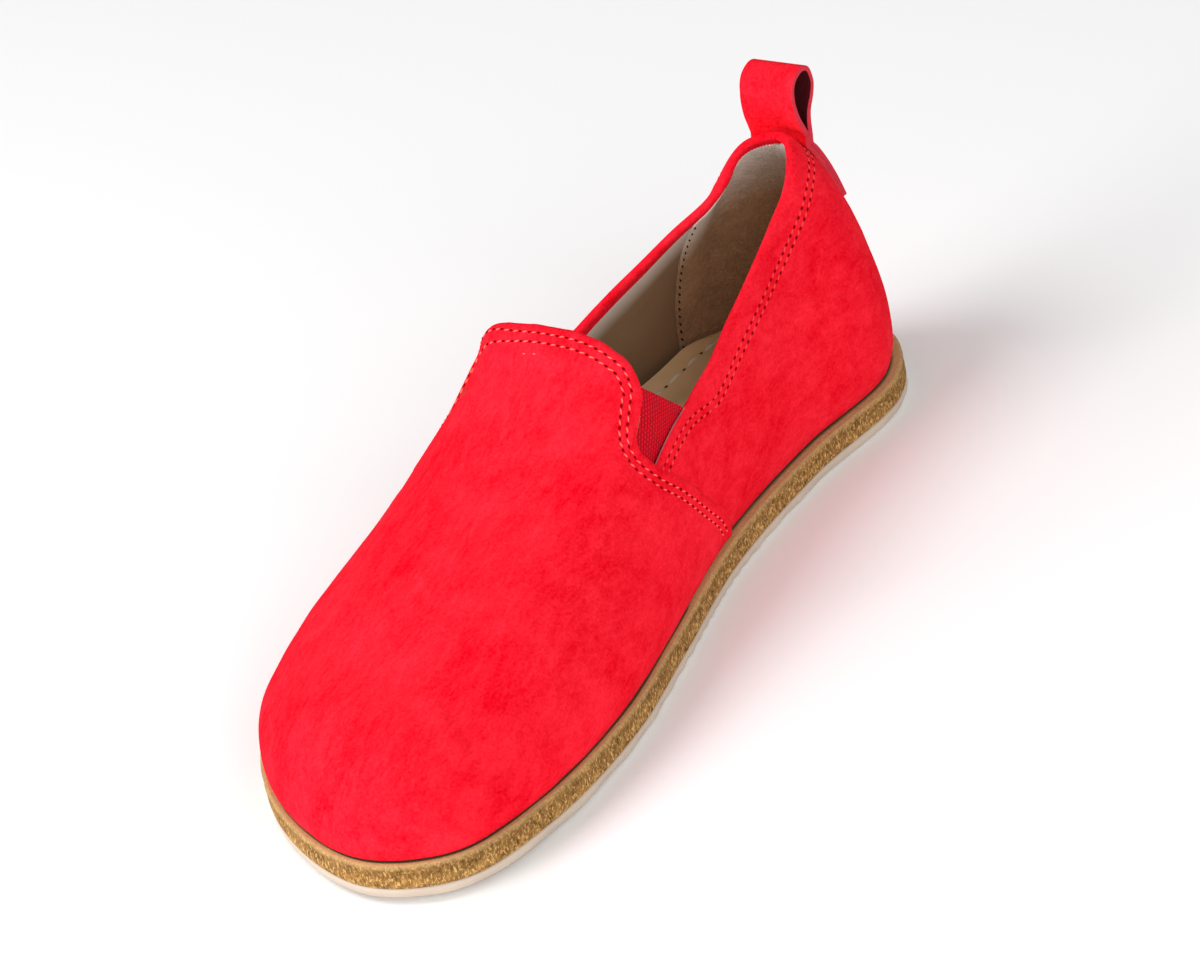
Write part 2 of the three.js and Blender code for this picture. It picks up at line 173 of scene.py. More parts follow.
# Soft troughs and ridges of the vamp: depth (a ridge is below zero), width, then places seen from above
CREASES = (
    (0.50, 2.6, (152, -36), (157, -28), (164, -18)),
    (-0.28, 2.8, (148, -38), (153, -29), (159, -19)),
    (0.70, 4.5, (125, -29), (129, -20), (133, -9)),
    (0.45, 2.4, (209, -17), (218, -7), (230, 6)),
    (-0.22, 2.6, (206, -13), (215, -3), (226, 9)),
    (0.40, 2.2, (216, -16), (226, -5), (233, 3)),
    (0.42, 2.2, (228, 18), (231, 26), (236, 34)),
    (0.36, 2.0, (222, 24), (226, 32), (230, 39)),
    (0.30, 3.6, (172, 36), (184, 33), (195, 34)),
    (0.22, 3.0, (150, 33), (160, 30), (171, 31)),
)

# Fuller places of the vamp, over its whole surface: rise, spread, then a place on the last
SWELLS = (
    (1.9, 7.0, (121, -21, 73)),
    (-1.3, 6.0, (120, -29, 65)),
    (1.6, 7.5, (129, -25, 65)),
    (2.1, 12.0, (137, -30, 54)),
    (1.0, 12.0, (153, -34, 45)),
)


def linear(red, green, blue):
    """Linear colour of an sRGB one given from 0 to 255."""
    def one(value):
        share = value / 255
        return share / 12.92 if share <= 0.04045 else ((share + 0.055) / 1.055) ** 2.4
    return one(red), one(green), one(blue)


def size(name, description, default):
    """Length property in metres with a default in millimetres."""
    return bpy.props.FloatProperty(
        name=name, description=description, default=default * MM, unit="LENGTH", precision=5)


def colour(name, description, default):
    """Colour property with an sRGB default."""
    return bpy.props.FloatVectorProperty(
        name=name, description=description, default=linear(*default),
        size=3, min=0.0, max=1.0, subtype="COLOR")


class SlipOnSizes(bpy.types.PropertyGroup):
    """Sizes of the shoe that a maker would change."""
    sole_length: size("Sole length", "Length of the sole from heel to toe", CAD_LENGTH)
    rubber_thickness: size("Rubber thickness", "Thickness of the outsole", 3.0)
    leather_thickness: size("Leather thickness", "Thickness of the midsole", 7.0)
    toe_spring: size("Toe spring", "Rise of the sole at the toe", 2.5)
    upper_thickness: size("Upper thickness", "Thickness of the upper's leather", 1.1)
    collar_bead: size("Collar bead", "Radius of the folded collar edge", 1.25)
    strap_width: size("Strap width", "Width of the pull loop", 17.0)
    strap_thickness: size("Strap thickness", "Thickness of the pull loop", 1.5)
    stitch_pitch: size("Stitch pitch", "Distance from stitch to stitch", 3.0)
    stitch_width: size("Stitch width", "Width of the upper's thread", 0.42)
    sock_stitch_pitch: size("Sock stitch pitch", "Distance between the insole's hand stitches", 9.0)


class SlipOnColours(bpy.types.PropertyGroup):
    """Colours of the shoe and its floor."""
    nubuck: colour("Nubuck", "Brushed red leather where its nap is light", (253, 42, 59))
    nubuck_shade: colour("Nubuck shade", "Red leather where its nap lies dark", (226, 4, 27))
    elastic: colour("Elastic", "Knitted gore", (236, 14, 40))
    thread: colour("Thread", "Thread of the vamp", (255, 112, 92))
    collar_thread: colour("Collar thread", "Thread of the collar", (244, 66, 62))
    seam_thread: colour("Seam thread", "Dark thread inside the shoe", (48, 36, 28))
    needle_hole: colour("Needle hole", "Shade in a needle's hole", (132, 6, 18))
    cut_edge: colour("Cut edge", "Cut edge of the strap", (214, 52, 68))
    quarter_edge: colour("Quarter edge", "Cut edge of the quarter at the gores", (206, 120, 122))
    # The strap back's colour also lines the quarter's back, and paints the shadow in the gap along the
    # quarter's edge at the gores.
    strap_back: colour("Strap back", "Suede back of the strap", (84, 5, 16))
    leather: colour("Sole leather", "Raw edge of the midsole", (190, 142, 80))
    leather_dark: colour("Sole leather, dark", "Dark fibres of the midsole", (98, 65, 28))
    leather_light: colour("Sole leather, light", "Light fibres of the midsole", (238, 200, 130))
    # Scuffed top edge of the midsole, also made paler as painted highlight where its rounded top catches
    # light.
    leather_scuff_and_highlight: colour("Sole leather, worn", "Scuffed top edge of the midsole", (200, 168, 120))
    rubber: colour("Rubber", "Outsole", (205, 188, 170))
    lining: colour("Lining", "Leather lining", (144, 116, 88))
    # Painted light: the lining is lit pale at its top under the collar.
    lining_lit_top: colour("Lining, pale", "Lining rubbed pale under the collar", (252, 246, 238))
    heel_patch: colour("Heel patch", "Suede patch at the heel", (194, 156, 122))
    # Painted light: the heel patch is lit pale at its top.
    heel_patch_lit_top: colour("Heel patch, pale", "Brushed top of the heel patch", (255, 250, 242))
    insole: colour("Insole", "Sock leather", (238, 204, 156))
    sock_thread: colour("Sock thread", "Hand stitches of the insole", (232, 226, 212))
    floor: colour("Floor", "Floor under the shoe", (251, 251, 251))


def smooth_curve(xs, values):
    """Function through points, with slopes limited so that it never overshoots."""
    last = len(xs) - 1
    chords = [(values[i + 1] - values[i]) / (xs[i + 1] - xs[i]) for i in range(last)]
    slopes = [chords[0]]
    for i in range(1, last):
        product = chords[i - 1] * chords[i]
        slopes.append(2 * product / (chords[i - 1] + chords[i]) if product > 0 else 0.0)
    slopes.append(chords[-1])

    def at(x):
        inside = min(max(x, xs[0]), xs[last])
        i = min(last - 1, max(0, bisect.bisect_left(xs, inside) - 1))
        span = xs[i + 1] - xs[i]
        t = (inside - xs[i]) / span
        rest = 1 - t
        low = values[i] * (1 + 2 * t) * rest * rest + slopes[i] * span * t * rest * rest
        return low + values[i + 1] * t * t * (3 - 2 * t) - slopes[i + 1] * span * t * t * rest
    return at


def between(first, second, start, end, t):
    """Point of the cubic from first to second with the slopes at its ends."""
    cubic = 2 * (first - second) + start + end
    square = 3 * (second - first) - 2 * start - end
    return ((cubic * t + square) * t + start) * t + first


def closed_curve(knots, samples):
    """Points of a closed centripetal spline through knots."""
    count = len(knots)
    points = []
    for k in range(samples):
        place = count * k / samples
        i = int(place)
        p = [Vector(knots[(i + step) % count]) for step in (-1, 0, 1, 2)]
        gaps = [math.sqrt((p[n + 1] - p[n]).length) for n in range(3)]
        start = (p[1] - p[0]) / gaps[0] - (p[2] - p[0]) / (gaps[0] + gaps[1]) + (p[2] - p[1]) / gaps[1]
        end = (p[2] - p[1]) / gaps[1] - (p[3] - p[1]) / (gaps[1] + gaps[2]) + (p[3] - p[2]) / gaps[2]
        points.append(between(p[1], p[2], start * gaps[1], end * gaps[1], place - i))
    return points


def bisected(low, high, halvings, is_before):
    """Place in a range, found by halving it, up to which a test holds."""
    for _ in range(halvings):
        middle = (low + high) / 2
        if is_before(middle):
            low = middle
        else:
            high = middle
    return low


class Rail:
    """Closed line round the sole, from the heel along the medial side to the toe and back."""

    def __init__(self, points):
        heel = min(range(len(points)), key=lambda i: points[i].x)
        self.points = points[heel:] + points[:heel]
        self.count = len(points)
        self.toe = max(range(self.count), key=lambda i: self.points[i].x)
        self.ends = {MEDIAL: self.toe, LATERAL: self.count - self.toe}
        self.reach = {}
        for side in SIDES:
            xs = []
            for k in range(self.ends[side] + 1):
                x = self.points[(side * k) % self.count].x
                xs.append(max(x, xs[-1]) if xs else x)
            self.reach[side] = xs
        self.heel_x = self.points[0].x
        self.toe_x = self.points[self.toe].x

    def find(self, side, x):
        """Place on the line at x on one side, counted in points from the heel."""
        xs = self.reach[side]
        k = min(self.ends[side], max(1, bisect.bisect_left(xs, x)))
        span = xs[k] - xs[k - 1]
        share = (x - xs[k - 1]) / span if span > 0 else 0.0
        return side * (k - 1 + min(1.0, max(0.0, share)))

    def at(self, place):
        """Point of the line at a place."""
        low = math.floor(place)
        share = place - low
        return self.points[low % self.count].lerp(self.points[(low + 1) % self.count], share)


class Last:
    """The form that the shoe is made on, in millimetres in the part's frame."""

    def __init__(self, length, rubber, leather, spring):
        self.length = length
        self.half = length / 2
        self.rubber = rubber
        self.sole_top = rubber + leather
        self.toe_spring = spring
        stations = [self.station(row[0]) for row in LAST_ROWS]
        self.ridge_height = smooth_curve(stations, [row[1] for row in LAST_ROWS])
        self.ridge_shift = smooth_curve(stations, [row[2] for row in LAST_ROWS])
        self.fullness = {
            MEDIAL: smooth_curve(stations, [row[3] for row in LAST_ROWS]),
            LATERAL: smooth_curve(stations, [row[4] for row in LAST_ROWS]),
        }
        knots = [(-self.half, HEEL_BACK_OFFSET)]
        knots += [(self.station(at), medial) for at, medial, lateral in OUTLINE_ROWS]
        knots.append((self.half, TOE_TIP_OFFSET))
        knots += [(self.station(at), -lateral) for at, medial, lateral in reversed(OUTLINE_ROWS)]
        self.outline = closed_curve(knots, OUTLINE_SAMPLES)
        self.foot = self.rail(FEATHER_LEDGE - SIDE_SWELL)
        self.collar = smooth_curve([x - self.half for x, z in COLLAR_ROWS], [z for x, z in COLLAR_ROWS])
        edge_xs = [x - self.half for z, x in VAMP_EDGE_ROWS]
        self.vamp_edge = smooth_curve([z for z, x in VAMP_EDGE_ROWS], edge_xs)

    def station(self, share):
        """x at a share of the length from the heel."""
        return share * self.length - self.half

    def spring(self, x):
        """Rise of the sole towards the toe."""
        start = self.station(SPRING_START)
        share = max(0.0, (x - start) / (self.half - start))
        return self.toe_spring * share * share

    def rail(self, margin):
        """Sole outline drawn in by a margin."""
        points = []
        for i, point in enumerate(self.outline):
            along = self.outline[(i + 1) % OUTLINE_SAMPLES] - self.outline[i - 1]
            along.normalize()
            points.append(Vector((point.x + along.y * margin, point.y - along.x * margin)))
        return Rail(points)

    def ridge_station(self, x):
        """Station of the ridge that a girth line climbs to."""
        def soften(value):
            return RIDGE_END_SOFTNESS * math.log1p(math.exp(value / RIDGE_END_SOFTNESS))
        heel_end = self.station(RIDGE_HEEL_END)
        toe_end = self.station(RIDGE_TOE_END)
        from_heel = heel_end + soften(x - heel_end)
        return toe_end - soften(toe_end - from_heel)

    def point(self, place, angle):
        """Point of the last over a place of its foot line, an angle up its girth."""
        foot = self.foot.at(place)
        x = self.ridge_station(foot.x)
        y = self.ridge_shift(x)
        side = MEDIAL if foot.y > y else LATERAL
        power = 2 / self.fullness[side](foot.x)
        base = self.sole_top + CLEARANCE + self.spring(foot.x)
        height = base + (self.ridge_height(x) - base) * max(0.0, math.sin(angle)) ** power
        tuck = SIDE_SWELL * math.exp((base - height) / SWELL_FADE)
        reach = math.hypot(foot.x - x, foot.y - y)
        out = max(0.0, math.cos(angle)) ** power * (1 - tuck / reach)
        return Vector((x + (foot.x - x) * out, y + (foot.y - y) * out, height))

    def normal(self, place, angle):
        """Outward direction of the last at a place and angle."""
        along = self.point(place + 1, angle) - self.point(place - 1, angle)
        if angle > RIDGE - 1e-4:
            flip = 1 if along.x > 0 else -1
            return Vector((-along.z * flip, 0, along.x * flip)).normalized()
        above = self.point(place, min(RIDGE, angle + ANGLE_STEP))
        up = above - self.point(place, max(0.0, angle - ANGLE_STEP))
        return up.cross(along).normalized()

    def under(self, place, angle, depth):
        """Point at a depth under the last's surface."""
        return self.point(place, angle) - self.normal(place, angle) * depth

    def side_height(self, point):
        """Height of a point as the tilted side edges measure it."""
        lift = (point.z - TILT_HEIGHT) * math.cos(COLLAR_TILT)
        return TILT_HEIGHT + lift - point.y * math.sin(COLLAR_TILT)

    def climb(self, place, height_at):
        """Angle where the girth line at a place reaches a height that depends on x."""
        def under(angle):
            point = self.point(place, angle)
            return self.side_height(point) < height_at(point.x)
        return bisected(0.0, RIDGE, FINE_HALVINGS, under)

    def vamp_start(self, side, angle):
        """Station of the foot where the line at an angle leaves the vamp's rear edge."""
        def behind(x):
            point = self.point(self.foot.find(side, x), angle)
            return point.x < self.vamp_edge(self.side_height(point))
        rear, front = (self.station(share) for share in VAMP_START_RANGE)
        return bisected(rear, front, FINE_HALVINGS, behind)

    def on_side(self, x, height, side):
        """Place and angle of the surface point with this x and side height."""
        foot_x = x
        for _ in range(SIDE_ROUNDS):
            place = self.foot.find(side, foot_x)
            angle = self.climb(place, lambda _x: height)
            foot_x += x - self.point(place, angle).x
        return place, angle

    def heel_back(self, across, height):
        """x of the heel's back at a height and a place across it."""
        def reached(place):
            def under(angle):
                return self.point(place, angle).z < height
            return self.point(place, bisected(0.0, RIDGE, COARSE_HALVINGS, under))

        def beside(place):
            return reached(place).y < across
        return reached(bisected(-HEEL_BACK_REACH, HEEL_BACK_REACH, COARSE_HALVINGS, beside)).x


@functools.lru_cache(maxsize=1)
def last_of(length, rubber, leather, spring):
    """Last made once for its sizes."""
    return Last(length, rubber, leather, spring)


def shoe_last(context):
    """Last for the sizes in the panel."""
    sizes = context.scene.slip_on_sizes
    return last_of(
        round(sizes.sole_length / MM, 4), round(sizes.rubber_thickness / MM, 4),
        round(sizes.leather_thickness / MM, 4), round(sizes.toe_spring / MM, 4))


# Modelling helpers

def activate(piece):
    """Makes one piece the only selected and active object."""
    bpy.ops.object.select_all(action="DESELECT")
    piece.select_set(True)
    bpy.context.view_layer.objects.active = piece


def grid_piece(name, places):
    """Grid primitive with its crossings put at rows of places, in millimetres."""
    rows = len(places) - 1
    columns = len(places[0]) - 1
    bpy.ops.object.select_all(action="DESELECT")
    bpy.ops.mesh.primitive_grid_add(x_subdivisions=columns, y_subdivisions=rows, size=1.0)
    piece = bpy.context.object
    piece.name = name
    piece.data.name = name
    if len(piece.data.vertices) != (rows + 1) * (columns + 1):
        raise RuntimeError(name + ": the grid has another count of crossings")
    for vertex in piece.data.vertices:
        row, column = divmod(vertex.index, columns + 1)
        vertex.co = places[row][column] * MM
    return piece


def merge_seams(piece, distance=2e-6):
    """Joins the crossings of a grid that lie on each other."""
    activate(piece)
    bpy.ops.object.mode_set(mode="EDIT")
    bpy.ops.mesh.select_all(action="SELECT")
    bpy.ops.mesh.remove_doubles(threshold=distance)
    bpy.ops.mesh.select_all(action="DESELECT")
    bpy.ops.object.mode_set(mode="OBJECT")


def thicken(piece, thickness, inner_slot=0, rim_slot=0, offset=-1.0):
    """Gives a sheet its thickness, with the slots of its inner face and its rim."""
    modifier = piece.modifiers.new("thickness", "SOLIDIFY")
    modifier.thickness = thickness * MM
    modifier.offset = offset
    modifier.use_even_offset = False
    modifier.material_offset = inner_slot
    modifier.material_offset_rim = rim_slot
    activate(piece)
    bpy.ops.object.modifier_apply(modifier=modifier.name)


def soften_rim(piece, width):
    """Rounds the sharp edges of a piece."""
    modifier = piece.modifiers.new("round", "BEVEL")
    modifier.width = width * MM
    modifier.segments = 2
    modifier.limit_method = "ANGLE"
    modifier.angle_limit = math.radians(50)
    activate(piece)
    bpy.ops.object.modifier_apply(modifier=modifier.name)


def cover(piece, *materials):
    """Lays materials in the slots of a piece, before its sheet gets a thickness."""
    for material in materials:
        piece.data.materials.append(material)


def dress(piece, nodes=(), smooth_angle=45):
    """Gives a piece smooth shading and its place in the frame."""
    activate(piece)
    bpy.ops.object.shade_smooth_by_angle(angle=math.radians(smooth_angle))
    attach(piece, "root")
    if nodes:
        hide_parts(*nodes)
    return piece


def bell(distance, width):
    """Soft bump of height 1 round zero."""
    return math.exp(-(distance / width) ** 2)


def uneven(point, scale, amount, seed=0.0):
    """Soft hand-made unevenness at a point, with features of about scale millimetres."""
    place = Vector((point.x / scale + seed, point.y / scale - seed, point.z / scale + 2 * seed))
    return amount * noise.noise(place)


def unevenness(point, rows):
    """Unevenness at a point from rows of feature size, rise and seed."""
    return sum(uneven(point, *row) for row in rows)


def steps(start, stop, count):
    """Even steps from start to stop, both among them."""
    return [start + (stop - start) * i / count for i in range(count + 1)]


def blend(x, low, high):
    """Smooth step from 0 at low to 1 at high."""
    share = min(1.0, max(0.0, (x - low) / (high - low)))
    return share * share * (3 - 2 * share)


def from_segment(x, y, a, b):
    """Distance in plan from a point to a segment."""
    dx, dy = b[0] - a[0], b[1] - a[1]
    share = ((x - a[0]) * dx + (y - a[1]) * dy) / (dx * dx + dy * dy)
    share = min(1.0, max(0.0, share))
    return math.hypot(x - a[0] - dx * share, y - a[1] - dy * share)


# Stitching

OUTSIDE = 6.0
STITCH_TURN = (2.0, 0.5, 1.3)
STITCH_REACH = (2.0, 0.2, 8.1)


def resample(line, pitch):
    """Points at even steps along a line of (point, normal), each with the direction along."""
    spots = []
    carried = 0.0
    for (a, an), (b, bn) in zip(line, line[1:]):
        length = (b - a).length
        if length < 1e-6:
            continue
        travelled = pitch - carried
        while travelled <= length:
            share = travelled / length
            spots.append((a.lerp(b, share), an.lerp(bn, share).normalized(), (b - a) / length))
            travelled += pitch
        carried = length - (travelled - pitch)
    return spots


def laid(tree, point, normal):
    """Spot and normal of the surface in a tree straight under a point, seen from outside."""
    spot, facing, _index, _gap = tree.ray_cast((point + normal * OUTSIDE) * MM, -normal)
    if spot is None:
        spot, facing, _index, _gap = tree.find_nearest(point * MM)
    return spot / MM, facing


def offset_line(edge, distance, tree, smoothing=3):
    """Line drawn in from an edge of (point, inward, normal) over the surface in a tree."""
    line = [laid(tree, point + inward * distance, normal) for point, inward, normal in edge]
    for _ in range(smoothing):
        middle = [
            ((line[i - 1][0] + line[i][0] * 2 + line[i + 1][0]) / 4, line[i][1])
            for i in range(1, len(line) - 1)
        ]
        line = [line[0]] + middle + [line[-1]]
    return line


def surface_tree(piece):
    """Search tree of a piece's faces."""
    vertices = [vertex.co.copy() for vertex in piece.data.vertices]
    faces = [tuple(polygon.vertices) for polygon in piece.data.polygons]
    return BVHTree.FromPolygons(vertices, faces)


def stitched_piece(name, lines, pitch, length, width, hole, materials, slant=0.0):
    """Rows of slanting stitches with a needle hole of painted shade between each two, along lines of
    (point, normal).
    """
    hole_sides = 8
    hole_lift = 0.06
    hole_long = 0.62 * hole
    hole_wide = 0.42 * hole
    middle_rise = 0.12 * width
    end_dip = 0.4 * width
    bpy.ops.object.select_all(action="DESELECT")
    bpy.ops.mesh.primitive_uv_sphere_add(segments=8, ring_count=6, radius=1.0)
    piece = bpy.context.object
    mesh = piece.data
    shape = [vertex.co.copy() for vertex in mesh.vertices]
    sides = [tuple(polygon.vertices) for polygon in mesh.polygons]
    vertices = []
    faces = []
    slots = []
    for line in lines:
        spots = resample(line, pitch)
        for number, (spot, normal, along) in enumerate(spots, 1):
            across = normal.cross(along).normalized()
            turn = slant * (1 + uneven(spot, *STITCH_TURN))
            run = along * math.cos(turn) + across * math.sin(turn)
            beside = normal.cross(run).normalized()
            reach = length * (1 + uneven(spot, *STITCH_REACH))
            start = len(vertices)
            for corner in shape:
                offset = run * (corner.z * reach / 2) + beside * (corner.x * width / 2)
                rise = corner.y * width / 2 + middle_rise - end_dip * corner.z * corner.z
                vertices.append((spot + offset + normal * rise) * MM)
            faces += [tuple(start + index for index in side) for side in sides]
            slots += [0] * len(sides)
            if hole <= 0 or number == len(spots):
                continue
            # Needle hole: a flat dark disc just over the surface, painted shade in the hole.
            start = len(vertices)
            centre = spot + along * (pitch / 2) + normal * hole_lift
            for k in range(hole_sides):
                turn = 2 * math.pi * k / hole_sides
                offset = along * (math.cos(turn) * hole_long) + across * (math.sin(turn) * hole_wide)
                vertices.append((centre + offset) * MM)
            faces.append(tuple(start + k for k in range(hole_sides)))
            slots.append(1)
    mesh.clear_geometry()
    mesh.from_pydata(vertices, [], faces)
    mesh.update()
    piece.name = name
    mesh.name = name
    cover(piece, *materials)
    dress(piece, smooth_angle=60)
    mesh.polygons.foreach_set("material_index", slots)
    mesh.update()
    return piece


# Shader helpers

def node_group(name, *masks):
    """Group that mixes its Dark and Light into a Color, with a Height and more masks to put out."""
    group = bpy.data.node_groups.new(name, "ShaderNodeTree")
    for label in ("Dark", "Light"):
        group.interface.new_socket(label, in_out="INPUT", socket_type="NodeSocketColor")
    group.interface.new_socket("Color", in_out="OUTPUT", socket_type="NodeSocketColor")
    for label in ("Height", *masks):
        group.interface.new_socket(label, in_out="OUTPUT", socket_type="NodeSocketFloat")
    return group


def close_group(group, tone, **masks):
    """Links a group's colour, mixed by a tone, and its masks to its outputs."""
    ends = group.nodes.new("NodeGroupInput").outputs
    out = group.nodes.new("NodeGroupOutput")
    group.links.new(mix_colours(group, tone, ends["Dark"], ends["Light"]), out.inputs["Color"])
    for label, mask in masks.items():
        group.links.new(mask, out.inputs[label])


def add_noise(tree, vector, scale, detail, roughness=0.55, distortion=0.0, spread=None):
    """Noise over a vector, its values within a spread round a half drawn out to 0 and 1."""
    node = tree.nodes.new("ShaderNodeTexNoise")
    node.inputs["Scale"].default_value = scale
    node.inputs["Detail"].default_value = detail
    node.inputs["Roughness"].default_value = roughness
    node.inputs["Distortion"].default_value = distortion
    tree.links.new(vector, node.inputs["Vector"])
    value = node.outputs["Fac"]
    return add_range(tree, value, 0.5 - spread, 0.5 + spread) if spread else value


def add_math(tree, operation, first, second=0.0):
    """Math node over one or two sockets or numbers."""
    node = tree.nodes.new("ShaderNodeMath")
    node.operation = operation
    for socket, value in zip(node.inputs, (first, second)):
        if isinstance(value, (int, float)):
            socket.default_value = value
        else:
            tree.links.new(value, socket)
    return node.outputs["Value"]


def add_range(tree, value, low, high, to_low=0.0, to_high=1.0):
    """Values from low to high spread over another range."""
    node = tree.nodes.new("ShaderNodeMapRange")
    node.inputs["From Min"].default_value = low
    node.inputs["From Max"].default_value = high
    node.inputs["To Min"].default_value = to_low
    node.inputs["To Max"].default_value = to_high
    tree.links.new(value, node.inputs["Value"])
    return node.outputs["Result"]


def add_stretch(tree, vector, scale):
    """Vector scaled along its three axes."""
    node = tree.nodes.new("ShaderNodeMapping")
    node.inputs["Scale"].default_value = scale
    tree.links.new(vector, node.inputs["Vector"])
    return node.outputs["Vector"]


def add_axis(tree, coordinates, axis):
    """One axis of the Object or UV coordinates."""
    apart = tree.nodes.new("ShaderNodeSeparateXYZ")
    tree.links.new(tree.nodes.new("ShaderNodeTexCoord").outputs[coordinates], apart.inputs["Vector"])
    return apart.outputs[axis]


def add_weighted(tree, parts):
    """Sum of sockets, each times its weight."""
    total = None
    for part, weight in parts:
        term = add_math(tree, "MULTIPLY", part, weight)
        total = add_math(tree, "ADD", total, term) if total else term
    return total


def mix_colours(tree, share, first, second):
    """Mix node for colours, found by its colour sockets."""
    node = tree.nodes.new("ShaderNodeMix")
    node.data_type = "RGBA"
    colours = [socket for socket in node.inputs if socket.type == "RGBA"]
    factor = next(socket for socket in node.inputs if socket.type == "VALUE" and socket.enabled)
    tree.links.new(share, factor)
    for socket, value in zip(colours, (first, second)):
        if isinstance(value, bpy.types.NodeSocket):
            tree.links.new(value, socket)
        else:
            socket.default_value = (*value, 1.0)
    return next(socket for socket in node.outputs if socket.type == "RGBA")


def new_material(name, roughness, gloss):
    """Material with a Principled shader, and that shader's node."""
    material = bpy.data.materials.new(name)
    material.use_nodes = True
    shader = material.node_tree.nodes["Principled BSDF"]
    shader.inputs["Roughness"].default_value = roughness
    shader.inputs["Specular IOR Level"].default_value = gloss
    return material, shader


def add_group(tree, name, dark, light):
    """Node that stands for a shared node group, with its colours."""
    node = tree.nodes.new("ShaderNodeGroup")
    node.node_tree = bpy.data.node_groups[name]
    node.inputs["Dark"].default_value = (*dark, 1.0)
    node.inputs["Light"].default_value = (*light, 1.0)
    return node


def add_bump(tree, shader, height, strength, distance):
    """Bump on a shader from a height socket."""
    node = tree.nodes.new("ShaderNodeBump")
    node.inputs["Strength"].default_value = strength
    node.inputs["Distance"].default_value = distance
    tree.links.new(height, node.inputs["Height"])
    tree.links.new(node.outputs["Normal"], shader.inputs["Normal"])


def make_nap_group():
    """Mottling, brush marks and fine nap of brushed leather."""
    group = node_group("Nap")
    place = group.nodes.new("ShaderNodeTexCoord").outputs["Object"]
    brushed = add_stretch(group, place, (0.4, 1.0, 0.7))
    clouds = add_noise(group, place, scale=52, detail=3, roughness=0.6, distortion=0.5, spread=0.14)
    streaks = add_noise(group, brushed, scale=170, detail=4, roughness=0.6, distortion=1.2, spread=0.16)
    tufts = add_noise(group, brushed, scale=620, detail=3, roughness=0.6, distortion=0.8, spread=0.16)
    grain = add_noise(group, place, scale=1300, detail=3, roughness=0.65, spread=0.18)
    tone = add_weighted(group, ((clouds, 0.36), (streaks, 0.32), (tufts, 0.34), (grain, 0.46)))
    height = add_weighted(group, ((grain, 1.0), (tufts, 0.8)))
    close_group(group, add_math(group, "SUBTRACT", tone, 0.24), Height=height)


def make_fibre_group():
    """Fibres and flecks of raw sole leather, longer up the edge than along it."""
    group = node_group("Fibre", "Fleck")
    place = group.nodes.new("ShaderNodeTexCoord").outputs["Object"]
    standing = add_stretch(group, place, (1.0, 1.0, 0.5))
    coarse = add_noise(group, place, scale=420, detail=4, roughness=0.6)
    fine = add_noise(group, standing, scale=1650, detail=3, roughness=0.65, distortion=0.6)
    height = add_weighted(group, ((coarse, 0.4), (fine, 0.6)))
    fleck = add_range(group, fine, 0.53, 0.70, 0.0, 0.8)
    close_group(group, add_range(group, height, 0.37, 0.63), Height=height, Fleck=fleck)


def make_weave_group():
    """Short staggered threads of the knitted elastic, dark in the hollows between them as painted shade,
    over the gore's own map in millimetres.
    """
    wale = 0.95
    course = 0.85
    group = node_group("Weave")
    across = add_math(group, "DIVIDE", add_axis(group, "UV", "X"), wale)
    odd = add_math(group, "MODULO", add_math(group, "FLOOR", across), 2.0)
    along = add_math(group, "DIVIDE", add_axis(group, "UV", "Y"), course)
    along = add_math(group, "ADD", along, add_math(group, "MULTIPLY", odd, 0.5))
    wave = add_math(group, "SINE", add_math(group, "MULTIPLY", across, math.pi))
    loops = add_math(group, "SINE", add_math(group, "MULTIPLY", along, 2 * math.pi))
    thick = add_range(group, loops, -1.0, 1.0, 0.25, 1.0)
    height = add_math(group, "MULTIPLY", add_math(group, "ABSOLUTE", wave), thick)
    close_group(group, add_range(group, height, 0.1, 0.6), Height=height)


def make_grain_group():
    """Fine grain and soft wear of smooth leather and rubber."""
    group = node_group("Grain")
    place = group.nodes.new("ShaderNodeTexCoord").outputs["Object"]
    wear = add_noise(group, place, scale=60, detail=3, spread=0.15)
    grain = add_noise(group, place, scale=1700, detail=3, roughness=0.6)
    close_group(group, add_weighted(group, ((wear, 0.55), (grain, 0.5))), Height=grain)


def shaded(rgb, factor):
    """Colour made lighter or darker."""
    return tuple(min(1.0, part * factor) for part in rgb)


# Finishes by colour: texture group, shade of the dark places, roughness, bump, its depth in metres, gloss
Finish = collections.namedtuple("Finish", "group shade roughness bump depth gloss")
NUBUCK = Finish("Nap", None, 0.9, 0.4, 0.0003, 0.0)
SOLE_LEATHER = Finish("Fibre", None, 0.9, 0.7, 0.0006, 0.15)
HEEL_PATCH = Finish("Nap", 0.6, 0.95, 0.5, 0.0006, 0.2)
FINISHES = {
    "strap_back": Finish("Nap", 0.6, 0.95, 0.4, 0.0005, 0.2),
    "cut_edge": Finish("Nap", 0.75, 0.9, 0.4, 0.0003, 0.2),
    "quarter_edge": Finish("Nap", 0.6, 0.9, 0.4, 0.0003, 0.2),
    # The elastic's dark tone is painted shade in the hollows of its weave.
    "elastic": Finish("Weave", 0.45, 0.8, 0.8, 0.0005, 0.1),
    "rubber": Finish("Grain", 0.86, 0.75, 0.12, 0.0003, 0.4),
    "lining": Finish("Grain", 0.78, 0.55, 0.12, 0.0003, 0.4),
    "insole": Finish("Grain", 0.76, 0.6, 0.15, 0.0003, 0.4),
}

# Threads and holes by colour: roughness, gloss
PLAIN_FINISHES = {
    "thread": (0.6, 0.3),
    "collar_thread": (0.7, 0.3),
    "sock_thread": (0.6, 0.3),
    "seam_thread": (0.8, 0.3),
    "needle_hole": (1.0, 0.0),
}
# Painted light on the tops of the lining and the heel patch: shade of its dark tone, and the share of the
# sheet's height where it starts.
PALE_SHADE = 0.7
LINING_FADE = 0.76
PATCH_FADE = 0.66


